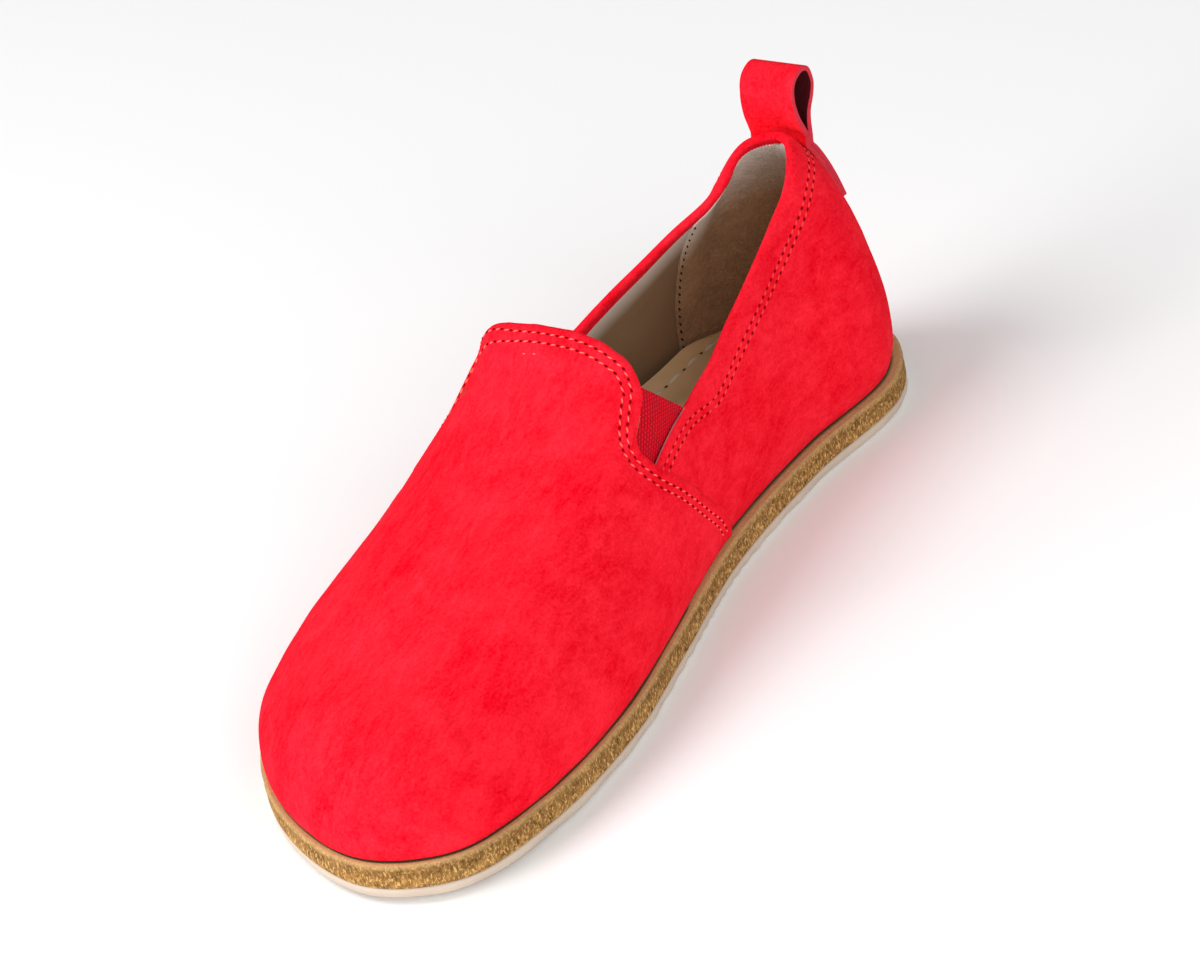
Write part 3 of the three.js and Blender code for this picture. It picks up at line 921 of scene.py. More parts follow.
def toned_material(name, finish, light, dark=None):
    """Material of a finish between two colours, with its shader and the node of its texture."""
    material, shader = new_material(name.replace("_", " "), finish.roughness, finish.gloss)
    tree = material.node_tree
    texture = add_group(tree, finish.group, dark or shaded(light, finish.shade), light)
    tree.links.new(texture.outputs["Color"], shader.inputs["Base Color"])
    add_bump(tree, shader, texture.outputs["Height"], finish.bump, finish.depth)
    return material, shader, texture


def plain_material(name, rgb, roughness, gloss):
    """Material of one colour."""
    material, shader = new_material(name.replace("_", " "), roughness, gloss)
    shader.inputs["Base Color"].default_value = (*rgb, 1.0)
    return material


def make_nubuck(colours):
    """Brushed red leather with a faint sheen."""
    material, shader, _texture = toned_material("nubuck", NUBUCK, colours.nubuck, colours.nubuck_shade)
    shader.inputs["Sheen Weight"].default_value = 0.05
    shader.inputs["Sheen Roughness"].default_value = 0.32
    shader.inputs["Sheen Tint"].default_value = (1.0, 0.4, 0.42, 1.0)
    return material


def make_sole_leather(colours):
    """Raw edge of sole leather: its top scuffed and made paler as painted highlight, painted shade across
    its middle, light fibres denser lower down as painted highlight, and a painted shadow line under the
    upper.
    """
    painted_shade_at = 0.55
    shadow_line_width = 0.035
    material, shader, texture = toned_material(
        "sole_leather", SOLE_LEATHER, colours.leather, colours.leather_dark)
    tree = material.node_tree
    down = add_axis(tree, "UV", "Y")
    # Painted shade: a band across the middle of the edge, mixed towards the dark leather.
    from_painted_shade = add_math(tree, "ABSOLUTE", add_math(tree, "SUBTRACT", down, painted_shade_at))
    painted_shade = add_range(tree, from_painted_shade, 0.02, 0.13, 0.42, 0.0)
    # Scuffed and painted highlight: the top of the edge paler, fading out further down.
    scuff_and_highlight = add_range(tree, down, 0.34, 0.47, 0.7, 0.0)
    # Painted highlight: the light fibres grow denser towards the bottom of the edge, which brightens it
    # there.
    golden = add_range(tree, down, 0.40, 0.62, 0.4, 1.0)
    fleck = add_math(tree, "MULTIPLY", texture.outputs["Fleck"], golden)
    # Painted shadow: a dark line in the thread's colour where the upper's foot meets the ledge, placed for
    # the vamp and for the quarter; seam is this line's mask.
    shadow_line_at = add_range(tree, add_axis(tree, "Object", "X"), 0.004, 0.010, 0.165, 0.215)
    from_shadow_line = add_math(tree, "SUBTRACT", down, shadow_line_at)
    seam = add_range(tree, from_shadow_line, 0.0, shadow_line_width, 0.85, 0.0)
    layers = (
        (painted_shade, colours.leather_dark),
        (scuff_and_highlight, colours.leather_scuff_and_highlight),
        (fleck, colours.leather_light),
        (seam, colours.seam_thread),
    )
    body = texture.outputs["Color"]
    for share, rgb in layers:
        body = mix_colours(tree, share, body, tuple(rgb))
    tree.links.new(body, shader.inputs["Base Color"])
    return material


def make_faded(name, finish, rgb, pale, start):
    """Material with painted light: it turns pale towards the top of its sheet, from a share of the sheet's
    height.
    """
    material, shader, texture = toned_material(name, finish, rgb)
    tree = material.node_tree
    top = add_group(tree, finish.group, shaded(pale, PALE_SHADE), pale)
    share = add_range(tree, add_axis(tree, "UV", "Y"), start, 1.0)
    mixed = mix_colours(tree, share, texture.outputs["Color"], top.outputs["Color"])
    tree.links.new(mixed, shader.inputs["Base Color"])
    return material


@functools.lru_cache(maxsize=1)
def make_materials(scene_name):
    """All the shoe's materials by name, in the panel's colours."""
    colours = bpy.data.scenes[scene_name].slip_on_colours
    make_nap_group()
    make_fibre_group()
    make_weave_group()
    make_grain_group()
    made = {
        "nubuck": make_nubuck(colours),
        "sole_leather": make_sole_leather(colours),
        "quarter_lining": make_faded(
            "quarter_lining", FINISHES["lining"], colours.lining, colours.lining_lit_top, LINING_FADE),
        "heel_patch": make_faded(
            "heel_patch", HEEL_PATCH, colours.heel_patch, colours.heel_patch_lit_top, PATCH_FADE),
    }
    for name, finish in FINISHES.items():
        made[name] = toned_material(name, finish, getattr(colours, name))[0]
    for name, finish in PLAIN_FINISHES.items():
        made[name] = plain_material(name, getattr(colours, name), *finish)
    return made


# Pieces of the upper

class Surface:
    """Row of the last's girth line at one place, measured down from an edge."""

    def __init__(self, last, place, top, samples=70):
        self.angles = steps(top, 0.0, samples)
        self.lengths = [0.0]
        before = last.point(place, top)
        for angle in self.angles[1:]:
            after = last.point(place, angle)
            self.lengths.append(self.lengths[-1] + (after - before).length)
            before = after
        self.length = self.lengths[-1]

    def angle(self, down):
        """Angle at a distance down from the edge."""
        i = min(len(self.lengths) - 1, max(1, bisect.bisect_left(self.lengths, down)))
        span = self.lengths[i] - self.lengths[i - 1]
        share = (down - self.lengths[i - 1]) / span if span > 0 else 0.0
        return self.angles[i - 1] + (self.angles[i] - self.angles[i - 1]) * share


def vamp_edge_line(last, count=140):
    """Rear edge of the vamp from the lateral foot over the tongue to the medial foot."""
    line = []
    for t in steps(-1.0, 1.0, 2 * count):
        side = MEDIAL if t > 0 else LATERAL
        angle = RIDGE * (1 - abs(t))
        place = last.foot.find(side, last.vamp_start(side, angle))
        line.append((last.point(place, angle), last.normal(place, angle)))
    return line


def inward_line(line, towards):
    """Points of an edge with the direction into the leather, on the side of a vector, and the normal."""
    result = []
    for i, (point, normal) in enumerate(line):
        ahead = line[min(len(line) - 1, i + 1)][0]
        behind = line[max(0, i - 1)][0]
        inward = normal.cross(ahead - behind).normalized()
        result.append((point, inward if inward.dot(towards) > 0 else -inward, normal))
    return result


# Stitch rows: groove that they pull into the leather, and their distances from its edge
GROOVE_DEPTH = 0.16
GROOVE_WIDTH = 0.55
VAMP_ROWS = (2.9, 5.0)
HEEL_COLLAR_ROWS = (7.0, 9.1)
GORE_COLLAR_ROWS = (3.1, 5.3)
COLLAR_ROW_BEND = (96.0, 114.0)

# Unevenness of the leathers: feature size, rise and seed, and the distance from an edge where it starts
VAMP_UNEVEN = ((21.0, 0.34, 3.1), (8.0, 0.12, 7.7))
QUARTER_UNEVEN = ((19.0, 0.30, 5.3), (7.0, 0.10, 1.7))
LINING_UNEVEN = ((16.0, 0.25, 9.1),)
UNEVEN_START = (1.0, 9.0)


def grooves(distance, rows):
    """Depth that stitch rows pull into the leather at a distance from its edge."""
    return sum(GROOVE_DEPTH * bell(distance - row, GROOVE_WIDTH) for row in rows)


def swell_at(last, point):
    """Rise of the vamp's fuller places at a point."""
    place = point + Vector((last.half, 0, 0))
    return sum(rise * bell((place - Vector(centre)).length, spread) for rise, spread, centre in SWELLS)


def vamp_relief(last, point, gap):
    """Rise of the vamp's surface at a point a gap away from its edge."""
    edge_round = 0.9
    roll_rise = 0.16
    roll_at = 1.7
    roll_width = 1.1
    crease_start = 5.0
    rise = roll_rise * bell(gap - roll_at, roll_width) - grooves(gap, VAMP_ROWS)
    if gap < edge_round:
        rise -= edge_round - math.sqrt(max(0.0, edge_round ** 2 - (edge_round - gap) ** 2))
    x = point.x + last.half
    for depth, width, *places in CREASES:
        distance = min(from_segment(x, point.y, a, b) for a, b in zip(places, places[1:]))
        if distance < 3 * width:
            rise -= depth * bell(distance, width) * blend(gap, 0.0, crease_start)
    soft = unevenness(point, VAMP_UNEVEN) * blend(gap, *UNEVEN_START)
    return rise + swell_at(last, point) + soft


def build_vamp(context):
    """Vamp with its tongue, one sheet from side to side."""
    last = shoe_last(context)
    sizes = context.scene.slip_on_sizes
    edge = vamp_edge_line(last)
    tree = kdtree.KDTree(len(edge))
    for i, (point, _normal) in enumerate(edge):
        tree.insert(point, i)
    tree.balance()
    half_rows = 74
    edge_columns = 17
    edge_step = 0.55
    body_columns = 130
    places = []
    for t in steps(-1.0, 1.0, 2 * half_rows):
        side = MEDIAL if t > 0 else LATERAL
        angle = RIDGE * (1 - abs(t))
        start = last.vamp_start(side, angle)
        stations = [start + edge_step * k for k in range(edge_columns)]
        first = stations[-1]
        reach = last.foot.toe_x - first
        stations += [first + reach * math.sin(RIDGE * k / body_columns) for k in range(1, body_columns + 1)]
        row = []
        for x in stations:
            place = last.foot.find(side, x)
            point = last.point(place, angle)
            _near, _index, gap = tree.find(point)
            row.append(point + last.normal(place, angle) * vamp_relief(last, point, gap))
        places.append(row)
    piece = grid_piece("vamp", places)
    merge_seams(piece)
    made = make_materials(context.scene.name)
    cover(piece, made["nubuck"], made["lining"])
    thicken(piece, sizes.upper_thickness / MM, 1, 0)
    return dress(piece, ("upper",))


# Quarter and its folded collar
QUARTER_FRONT = 137.0
QUARTER_COLUMNS = 320
QUARTER_THICKNESS = 0.5
BEAD_THINNING = 0.45
BEAD_THIN_RANGE = (100.0, 113.0)
CUT_START = 110.0
COLLAR_FOLD = 3.0


def collar_rows(x):
    """Distances of the two stitch rows under the collar's edge, x from the heel."""
    share = blend(x, *COLLAR_ROW_BEND)
    return [far + (near - far) * share for far, near in zip(HEEL_COLLAR_ROWS, GORE_COLLAR_ROWS)]


def collar_at(last, place):
    """Angle of the collar's edge over a place of the foot line, and its distance from the heel."""
    top = last.climb(place, last.collar)
    return top, last.point(place, top).x + last.half


def quarter_places(last):
    """Places along the foot line that the quarter covers, lateral side first."""
    front = QUARTER_FRONT - last.half
    return steps(last.foot.find(LATERAL, front), last.foot.find(MEDIAL, front), QUARTER_COLUMNS)


def bead_radius(sizes, x):
    """Radius of the collar's folded edge, x from the heel."""
    return sizes.collar_bead / MM * (1 - BEAD_THINNING * blend(x, *BEAD_THIN_RANGE))


def build_quarter(context):
    """Quarter from one front edge round the heel to the other, with its folded collar."""
    last = shoe_last(context)
    sizes = context.scene.slip_on_sizes
    fold_rows = 6
    bead_rows = 10
    cut_rows = range(fold_rows + 5, fold_rows + 7)
    near_step = 0.62
    near_rows = 18
    far_rows = 26
    hem_rise = 0.14
    hem_share = 3.2
    columns = []
    cut = []
    for place in quarter_places(last):
        top, rim_x = collar_at(last, place)
        cut.append(rim_x > CUT_START)
        radius = bead_radius(sizes, rim_x)
        girth = Surface(last, place, top)
        column = []
        for down in steps(radius + COLLAR_FOLD, radius, fold_rows)[:-1]:
            column.append(last.under(place, girth.angle(down), LAP_STEP + 2 * radius))
        angle = girth.angle(radius)
        normal = last.normal(place, angle)
        up = last.point(place, min(RIDGE, angle + ANGLE_STEP)) - last.point(place, angle)
        up.normalize()
        centre = last.under(place, angle, LAP_STEP + radius)
        for turn in steps(math.pi, 0.0, bead_rows):
            column.append(centre + (normal * math.cos(turn) + up * math.sin(turn)) * radius)
        near = [radius + near_step * k for k in range(1, near_rows + 1)]
        rows = collar_rows(rim_x)
        for down in near + steps(near[-1], girth.length, far_rows)[1:]:
            angle = girth.angle(down)
            point = last.point(place, angle)
            rise = hem_rise * bell(down - rows[0] / 2, rows[0] / hem_share) - grooves(down, rows)
            rise += unevenness(point, QUARTER_UNEVEN) * blend(down, *UNEVEN_START)
            column.append(point + last.normal(place, angle) * (rise - LAP_STEP))
        columns.append(column)
    piece = grid_piece("quarter", [list(row) for row in zip(*columns)])
    made = make_materials(context.scene.name)
    cover(piece, made["nubuck"], made["strap_back"], made["quarter_edge"])
    # Where the quarter's edge is cut raw at the gores, the fold and the bead's inner half take the dark
    # strap back as painted shadow in the gap over the gore, and the next rows take the pale cut edge.
    for polygon in piece.data.polygons:
        row, column = divmod(min(polygon.vertices), len(columns))
        if cut[column] and row < cut_rows.stop:
            polygon.material_index = 2 if row in cut_rows else 1
    thicken(piece, QUARTER_THICKNESS, 1, 1)
    return dress(piece, ("upper",))


# Lining: depths under the last, how its top meets the collar's fold, and its grid
LINING_DEPTH = 3.45
LINING_THICKNESS = 0.4
LINING_TUCK = -0.25
LINING_RISE = 1.2
LINING_FOOT = 1.2
LINING_RUN = 7.0
LINING_ROWS = 36
LINING_SAMPLES = 50
PATCH_DEPTH = LINING_DEPTH + 0.45
PATCH_TUCK = 0.3
PATCH_REACH = 46.0
PATCH_COLUMNS = 260
SCALLOP_PITCH = 10.0
SCALLOP_RISE = 1.0
SCALLOP_DEPTH = 0.8


def scalloped(place):
    """Rise of the heel patch's pinked top over the fold's end at a place along the foot line."""
    return SCALLOP_RISE - SCALLOP_DEPTH * abs(math.sin(math.pi * place / SCALLOP_PITCH))


def tucked(_place):
    """Rise of the lining's top over the fold's end, which hides it."""
    return LINING_RISE


def lining_sheet(context, name, places, depth, material, top_at, tuck):
    """Sheet inside the quarter from the insole up to a line under the collar, tucked to its fold."""
    last = shoe_last(context)
    sizes = context.scene.slip_on_sizes
    columns = []
    for place in places:
        top, rim_x = collar_at(last, place)
        girth = Surface(last, place, top, LINING_SAMPLES)
        radius = bead_radius(sizes, rim_x)
        fold_end = radius + COLLAR_FOLD
        fold_depth = LAP_STEP + 2 * radius + tuck
        column = []
        for down in steps(girth.length - LINING_FOOT, fold_end - top_at(place), LINING_ROWS):
            angle = girth.angle(down)
            point = last.point(place, angle)
            soft = depth + unevenness(point, LINING_UNEVEN)
            under = fold_depth + (soft - fold_depth) * blend(down, fold_end, fold_end + LINING_RUN)
            column.append(point - last.normal(place, angle) * under)
        columns.append(column)
    piece = grid_piece(name, [list(row) for row in zip(*columns)])
    cover(piece, make_materials(context.scene.name)[material])
    thicken(piece, LINING_THICKNESS)
    return dress(piece)


def sew_patch(context, ends):
    """Dark seam down each end of the heel patch."""
    last = shoe_last(context)
    inset = 3.0
    top_gap = 4.0
    foot_gap = 6.0
    points = 60
    proud = 0.1
    seams = []
    for place in (ends[0] + inset, ends[1] - inset):
        girth = Surface(last, place, last.climb(place, last.collar), LINING_SAMPLES)
        seam = []
        for down in steps(top_gap, girth.length - foot_gap, points):
            angle = girth.angle(down)
            seam.append((last.under(place, angle, PATCH_DEPTH + proud), -last.normal(place, angle)))
        seams.append(seam)
    made = make_materials(context.scene.name)
    stitched_piece(
        "patch_stitches", seams, pitch=2.6, length=1.7, width=0.6, hole=0.0,
        materials=(made["seam_thread"],), slant=0.5)


def line_vamp(context):
    """Lining under the vamp, drawn in from its edge where the gores are sewn to it."""
    last = shoe_last(context)
    half_rows = 40
    columns = 60
    reach = 72.0
    foot_share = 0.97
    tongue_inset = 3.0
    gore_inset = 9.0
    gore_heights = (64.0, 71.0)
    side_depth = 3.9
    tongue_lift = 1.6
    tongue_heights = (62.0, 69.0)
    places = []
    for t in steps(-1.0, 1.0, 2 * half_rows):
        side = MEDIAL if t > 0 else LATERAL
        angle = RIDGE * (1 - foot_share * abs(t))
        start = last.vamp_start(side, angle)
        edge_height = last.side_height(last.point(last.foot.find(side, start), angle))
        start += tongue_inset + gore_inset * (1 - blend(edge_height, *gore_heights))
        row = []
        for k in range(columns + 1):
            place = last.foot.find(side, start + reach * k / columns)
            point = last.point(place, angle)
            depth = side_depth - tongue_lift * blend(last.side_height(point), *tongue_heights)
            row.append(point - last.normal(place, angle) * (depth - swell_at(last, point)))
        places.append(row[::-1])
    piece = grid_piece("vamp_lining", places)
    cover(piece, make_materials(context.scene.name)["lining"])
    thicken(piece, LINING_THICKNESS)
    dress(piece)


def build_lining(context):
    """Leather lining of the quarter, the suede patch at the heel over it, and the vamp's lining."""
    last = shoe_last(context)
    lining_sheet(
        context, "lining", quarter_places(last), LINING_DEPTH, "quarter_lining", tucked, LINING_TUCK)
    ends = [last.foot.find(side, PATCH_REACH - last.half) for side in (LATERAL, MEDIAL)]
    patch_places = steps(*ends, PATCH_COLUMNS)
    lining_sheet(
        context, "heel_patch", patch_places, PATCH_DEPTH, "heel_patch", scalloped, PATCH_TUCK)
    sew_patch(context, ends)
    line_vamp(context)


# Gores: corners seen from the side, from the quarter to the vamp, then size of the weave's map and depths
GORE_TOP = ((108.6, 48.2), (125.2, 67.4))
GORE_FOOT = ((121.0, 38.0), (143.0, 46.0))
GORE_MAP = (25.0, 18.0)
GORE_THICKNESS = 0.9
GORE_DEPTH = 2.3
GORE_LEAN = 0.85
SELVEDGE_RISE = 0.25
SELVEDGE_AT = 0.5
SELVEDGE_WIDTH = 0.6


def gore_depth(u, v):
    """Depth of a gore under the last at a share towards the vamp and a share down from its top."""
    selvedge = SELVEDGE_RISE * bell(v * GORE_MAP[1] - SELVEDGE_AT, SELVEDGE_WIDTH)
    return GORE_DEPTH - GORE_LEAN * u * (1 - v) + GORE_LEAN * v ** 1.5 - selvedge


def build_gores(context):
    """Elastic wedge in each side, lapped under the vamp and the quarter."""
    last = shoe_last(context)
    made = make_materials(context.scene.name)
    top_edge = [Vector(corner) for corner in GORE_TOP]
    foot_edge = [Vector(corner) for corner in GORE_FOOT]
    columns = 40
    rows = 36
    for side, name in ((MEDIAL, "gore_medial"), (LATERAL, "gore_lateral")):
        places = []
        for v in steps(0.0, 1.0, rows):
            row = []
            for u in steps(0.0, 1.0, columns):
                spot = top_edge[0].lerp(top_edge[1], u).lerp(foot_edge[0].lerp(foot_edge[1], u), v)
                place, angle = last.on_side(spot.x - last.half, spot.y, side)
                depth = gore_depth(u, v) - swell_at(last, last.point(place, angle))
                row.append(last.under(place, angle, depth))
            places.append(row if side == MEDIAL else row[::-1])
        piece = grid_piece(name + "_weave", places)
        layer = piece.data.uv_layers.active.data
        for loop in piece.data.loops:
            row, column = divmod(loop.vertex_index, columns + 1)
            layer[loop.index].uv = (column / columns * GORE_MAP[0], row / rows * GORE_MAP[1])
        cover(piece, made["elastic"])
        thicken(piece, GORE_THICKNESS)
        dress(piece, (name,))


# Sole

# Ring of a sole layer: distance in from the outline, height, then a wave of its edge and a lift along x
Ring = collections.namedtuple("Ring", "margin height wave lift", defaults=(None, None))
SOLE_COLUMNS = 420
INSOLE_COLUMNS = 200
ROUGH_EDGE = ((5.0, 0.16, 2.2), (1.6, 0.14, 4.4))
ROUGH_LEDGE = ((4.0, 0.10, 6.1),)
RUBBER_GAP = 0.15
RIB_PITCH = 2.6
RIB_DEPTH = 0.16
RIB_RADIUS = 62.0
RIB_UNEVEN = ((3.0, 0.08, 8.8),)
RUBBER_UNEVEN = ((3.0, 0.07, 8.8),)


def sole_piece(name, last, profile, count):
    """Closed layer of the sole through rings listed from its top down."""
    rails = [last.rail(ring.margin) for ring in profile]
    shares = [(1 - math.cos(math.pi * k / count)) / 2 for k in range(count + 1)]
    stops = [(MEDIAL, share) for share in shares] + [(LATERAL, share) for share in reversed(shares[:-1])]

    def ring_point(index, side, share):
        ring = profile[index]
        rail = rails[index]
        x = rail.heel_x + (rail.toe_x - rail.heel_x) * share
        point = rail.at(rail.find(side, x))
        lift = ring.lift(point.x) if ring.lift else 0.0
        return Vector((point.x, point.y, ring.height + last.spring(point.x) + lift))

    def spine(index, share):
        medial = ring_point(index, MEDIAL, share)
        lateral = ring_point(index, LATERAL, share)
        return (medial + lateral) / 2

    rows = [[spine(0, share) for side, share in stops]]
    for index, ring in enumerate(profile):
        row = []
        for side, share in stops:
            point = ring_point(index, side, share)
            if ring.wave:
                centre = spine(index, share)
                out = Vector((point.x - centre.x, point.y - centre.y, 0))
                if out.length < 1e-6:
                    out = Vector((-1.0 if share < 0.5 else 1.0, 0, 0))
                out.normalize()
                point = point + out * ring.wave(point)
            row.append(point)
        rows.append(row)
    rows.append([spine(len(profile) - 1, share) for side, share in stops])
    piece = grid_piece(name, rows)
    merge_seams(piece, 1e-5)
    return piece


def build_midsole(context):
    """Leather midsole with its rough cut edge and a narrow ledge round the upper."""
    last = shoe_last(context)
    low = last.rubber
    high = last.sole_top

    def rough(point):
        return unevenness(point, ROUGH_EDGE)

    def ledge(point):
        return unevenness(point, ROUGH_LEDGE)

    profile = (
        Ring(9.0, high + 0.1),
        Ring(4.0, high + 0.05),
        Ring(2.0, high - 0.2),
        Ring(1.1, high - 0.15, ledge),
        Ring(0.5, high - 0.2, rough),
        Ring(0.1, high - 0.8, rough),
        Ring(0.2, high - 2.0, rough),
        Ring(0.3, high - 3.1, rough),
        Ring(0.2, high - 4.2, rough),
        Ring(0.05, high - 5.3, rough),
        Ring(0.1, high - 6.3, rough),
        Ring(0.4, low + 0.05, ledge),
        Ring(3.0, low),
    )
    piece = sole_piece("midsole_leather", last, profile, SOLE_COLUMNS)
    cover(piece, make_materials(context.scene.name)["sole_leather"])
    return dress(piece, ("midsole",), 60)


def build_outsole(context):
    """Thin rubber outsole with small ribs along its lower edge."""
    last = shoe_last(context)
    top = last.rubber - RUBBER_GAP

    def ribs(point):
        turn = math.atan2(point.y, point.x) * RIB_RADIUS / RIB_PITCH
        return RIB_DEPTH * math.sin(turn * 2) + unevenness(point, RIB_UNEVEN)

    def soft(point):
        return unevenness(point, RUBBER_UNEVEN)

    profile = (
        Ring(4.0, top),
        Ring(0.5, top, soft),
        Ring(0.2, top - 0.3, soft),
        Ring(0.15, top - 1.1, soft),
        Ring(0.3, top - 1.5, ribs),
        Ring(0.35, 0.7, ribs),
        Ring(0.7, 0.2, ribs),
        Ring(1.4, 0.0, soft),
        Ring(6.0, 0.0),
    )
    piece = sole_piece("outsole_rubber", last, profile, SOLE_COLUMNS)
    cover(piece, make_materials(context.scene.name)["rubber"])
    return dress(piece, ("outsole",), 50)


# Insole: distances in from the outline, its pad and turned edge, and where they run along the length
INSOLE_MARGIN = 5.7
INSOLE_THICKNESS = 2.35
SOCK_SEAM = 8.6
SOCK_SEAM_END = 0.86
SOCK_SEAM_SINK = 0.2
SOCK_SEAM_STEP = 4
EDGE_TURN_START = 12.5
EDGE_TURN = 4.6
HEEL_PAD = 5.0
PAD_END = (0.27, 0.58)
WAIST_START = (0.10, 0.19)
WAIST_END = (0.30, 0.50)


def insole_rise(last, margin, x):
    """Height over the flat insole: a pad under the heel, and its edge turned up at the waist."""
    share = (x + last.half) / last.length
    pad = HEEL_PAD * (1 - blend(share, *PAD_END))
    waist = blend(share, *WAIST_START) * (1 - blend(share, *WAIST_END))
    turned = max(0.0, (EDGE_TURN_START - margin) / (EDGE_TURN_START - INSOLE_MARGIN))
    return pad + EDGE_TURN * waist * turned * turned


def build_insole(context):
    """Sock of the insole over its heel pad, with its hand stitches."""
    last = shoe_last(context)
    sizes = context.scene.slip_on_sizes
    low = last.sole_top + CLEARANCE
    top = low + INSOLE_THICKNESS
    seam_height = top - SOCK_SEAM_SINK

    def lifted(margin, height):
        return Ring(margin, height, None, functools.partial(insole_rise, last, margin))

    profile = (
        lifted(14.0, top),
        lifted(EDGE_TURN_START, top),
        lifted(10.6, top + 0.05),
        lifted(SOCK_SEAM + 0.7, top),
        lifted(SOCK_SEAM, top - 0.3),
        lifted(SOCK_SEAM - 0.7, top),
        lifted(7.2, top + 0.15),
        lifted(INSOLE_MARGIN + 0.5, top + 0.25),
        lifted(INSOLE_MARGIN, top - 0.05),
        Ring(INSOLE_MARGIN, low),
    )
    piece = sole_piece("insole_sock", last, profile, INSOLE_COLUMNS)
    made = make_materials(context.scene.name)
    cover(piece, made["insole"])
    dress(piece, ("insole",), 50)
    rail = last.rail(SOCK_SEAM)
    line = []
    for k in range(0, OUTLINE_SAMPLES + 1, SOCK_SEAM_STEP):
        spot = rail.points[k % OUTLINE_SAMPLES]
        if spot.x < last.station(SOCK_SEAM_END):
            height = seam_height + last.spring(spot.x) + insole_rise(last, SOCK_SEAM, spot.x)
            line.append((Vector((spot.x, spot.y, height)), Vector((0, 0, 1))))
    toe = max(range(len(line) - 1), key=lambda i: (line[i + 1][0] - line[i][0]).length)
    lines = (line[:toe + 1], line[toe + 1:])
    # The insole's needle holes take the dark seam thread's colour as painted shade.
    stitched_piece(
        "insole_stitches", lines, pitch=sizes.sock_stitch_pitch / MM, length=5.2, width=0.9, hole=1.1,
        materials=(made["sock_thread"], made["seam_thread"]))


# Pull loop

PLY_GAP = 0.05
TAIL_STEPS = 12
CURVE_STEPS = 5
STRAP_COLUMNS = 12
STRAP_ROUND = 0.25


def strap_path(last, thickness):
    """Middle of the strap seen from the side, from its outer end up and over to its inner end."""
    inner = TAIL_CLEARANCE + thickness / 2
    outer = inner + thickness + PLY_GAP

    def tail(depth):
        heights = steps(TAIL_BOTTOM, TAIL_TOP, TAIL_STEPS)
        return [Vector((last.heel_back(HEEL_BACK_OFFSET, z) + LAP_STEP - depth, z)) for z in heights]

    loop = [Vector((x - last.half, z)) for x, z in LOOP_ROWS]
    knots = tail(outer) + loop + tail(inner)[::-1]
    path = []
    for i in range(len(knots) - 1):
        p = [knots[min(len(knots) - 1, max(0, i + step))] for step in (-1, 0, 1, 2)]
        start = (p[2] - p[0]) / 2
        end = (p[3] - p[1]) / 2
        path += [between(p[1], p[2], start, end, k / CURVE_STEPS) for k in range(CURVE_STEPS)]
    return path + [knots[-1]]


def build_loop(context):
    """Strap of the pull loop, its two ends bent round the back of the heel."""
    last = shoe_last(context)
    sizes = context.scene.slip_on_sizes
    thickness = sizes.strap_thickness / MM
    width = sizes.strap_width / MM
    middle = HEEL_BACK_OFFSET
    across = steps(width / 2, -width / 2, STRAP_COLUMNS)
    bends = {}
    for z in range(int(TAIL_BOTTOM) - 1, int(TAIL_TOP) + 2):
        centre = last.heel_back(middle, z)
        bends[z] = [last.heel_back(middle + y, z) - centre for y in across]
    places = []
    for point in strap_path(last, thickness):
        z = min(max(point.y, TAIL_BOTTOM), TAIL_TOP)
        low = math.floor(z)
        share = z - low
        follow = min(1.0, max(0.0, (BEND_TOP - point.y) / (BEND_TOP - TAIL_TOP)))
        row = []
        for k, y in enumerate(across):
            bend = bends[low][k] * (1 - share) + bends[low + 1][k] * share
            row.append(Vector((point.x + bend * follow, middle + y, point.y)))
        places.append(row)
    piece = grid_piece("pull_strap", places)
    made = make_materials(context.scene.name)
    cover(piece, made["nubuck"], made["strap_back"], made["cut_edge"])
    thicken(piece, thickness, 1, 2, 0.0)
    soften_rim(piece, STRAP_ROUND)
    return dress(piece, ("pull_loop",))


# Stitch lines: stitches as shares of the pitch and the thread, and where the rows end

STITCH_SLANT = 0.3
NEEDLE_HOLE = 0.9
VAMP_STITCH = 0.5
COLLAR_STITCH = 0.54
COLLAR_THREAD = 1.1
LOOSE_THREAD = 0.8
THREAD_ENDS = ((-2.0, -8.2, 72.7), (-2.0, -4.8, 73.2))
THREAD_END_REACH = 1.0
VAMP_FOOT_GAP = 2.5
COLLAR_SEAM_END = 132.5
STRAP_SEAM_END = 30.0
STRAP_SEAM_MARGIN = 1.4
SEAM_SAMPLES = 40


def sew_vamp(context):
    """Two rows of stitches along the vamp's edge, and the thread's loose ends at the tongue."""
    last = shoe_last(context)
    sizes = context.scene.slip_on_sizes
    made = make_materials(context.scene.name)
    pitch = sizes.stitch_pitch / MM
    width = sizes.stitch_width / MM
    vamp = surface_tree(bpy.data.objects["vamp"])
    edge = inward_line(vamp_edge_line(last), Vector((1, 0, 0)))
    edge = [spot for spot in edge if spot[0].z > last.sole_top + VAMP_FOOT_GAP]
    lines = [offset_line(edge, distance, vamp) for distance in VAMP_ROWS]
    stitched_piece(
        "vamp_stitches", lines, pitch, pitch * VAMP_STITCH, width, NEEDLE_HOLE,
        (made["thread"], made["needle_hole"]), STITCH_SLANT)
    ends = []
    for place in THREAD_ENDS:
        spot, normal = laid(vamp, Vector(place), Vector((0, 0, 1)))
        along = normal.cross(Vector((1, 0, 0))).normalized()
        ends.append([(spot + along * shift, normal) for shift in (-THREAD_END_REACH, THREAD_END_REACH)])
    stitched_piece(
        "thread_ends", ends, pitch=1.2, length=1.1, width=width * LOOSE_THREAD, hole=0.0,
        materials=(made["thread"],))


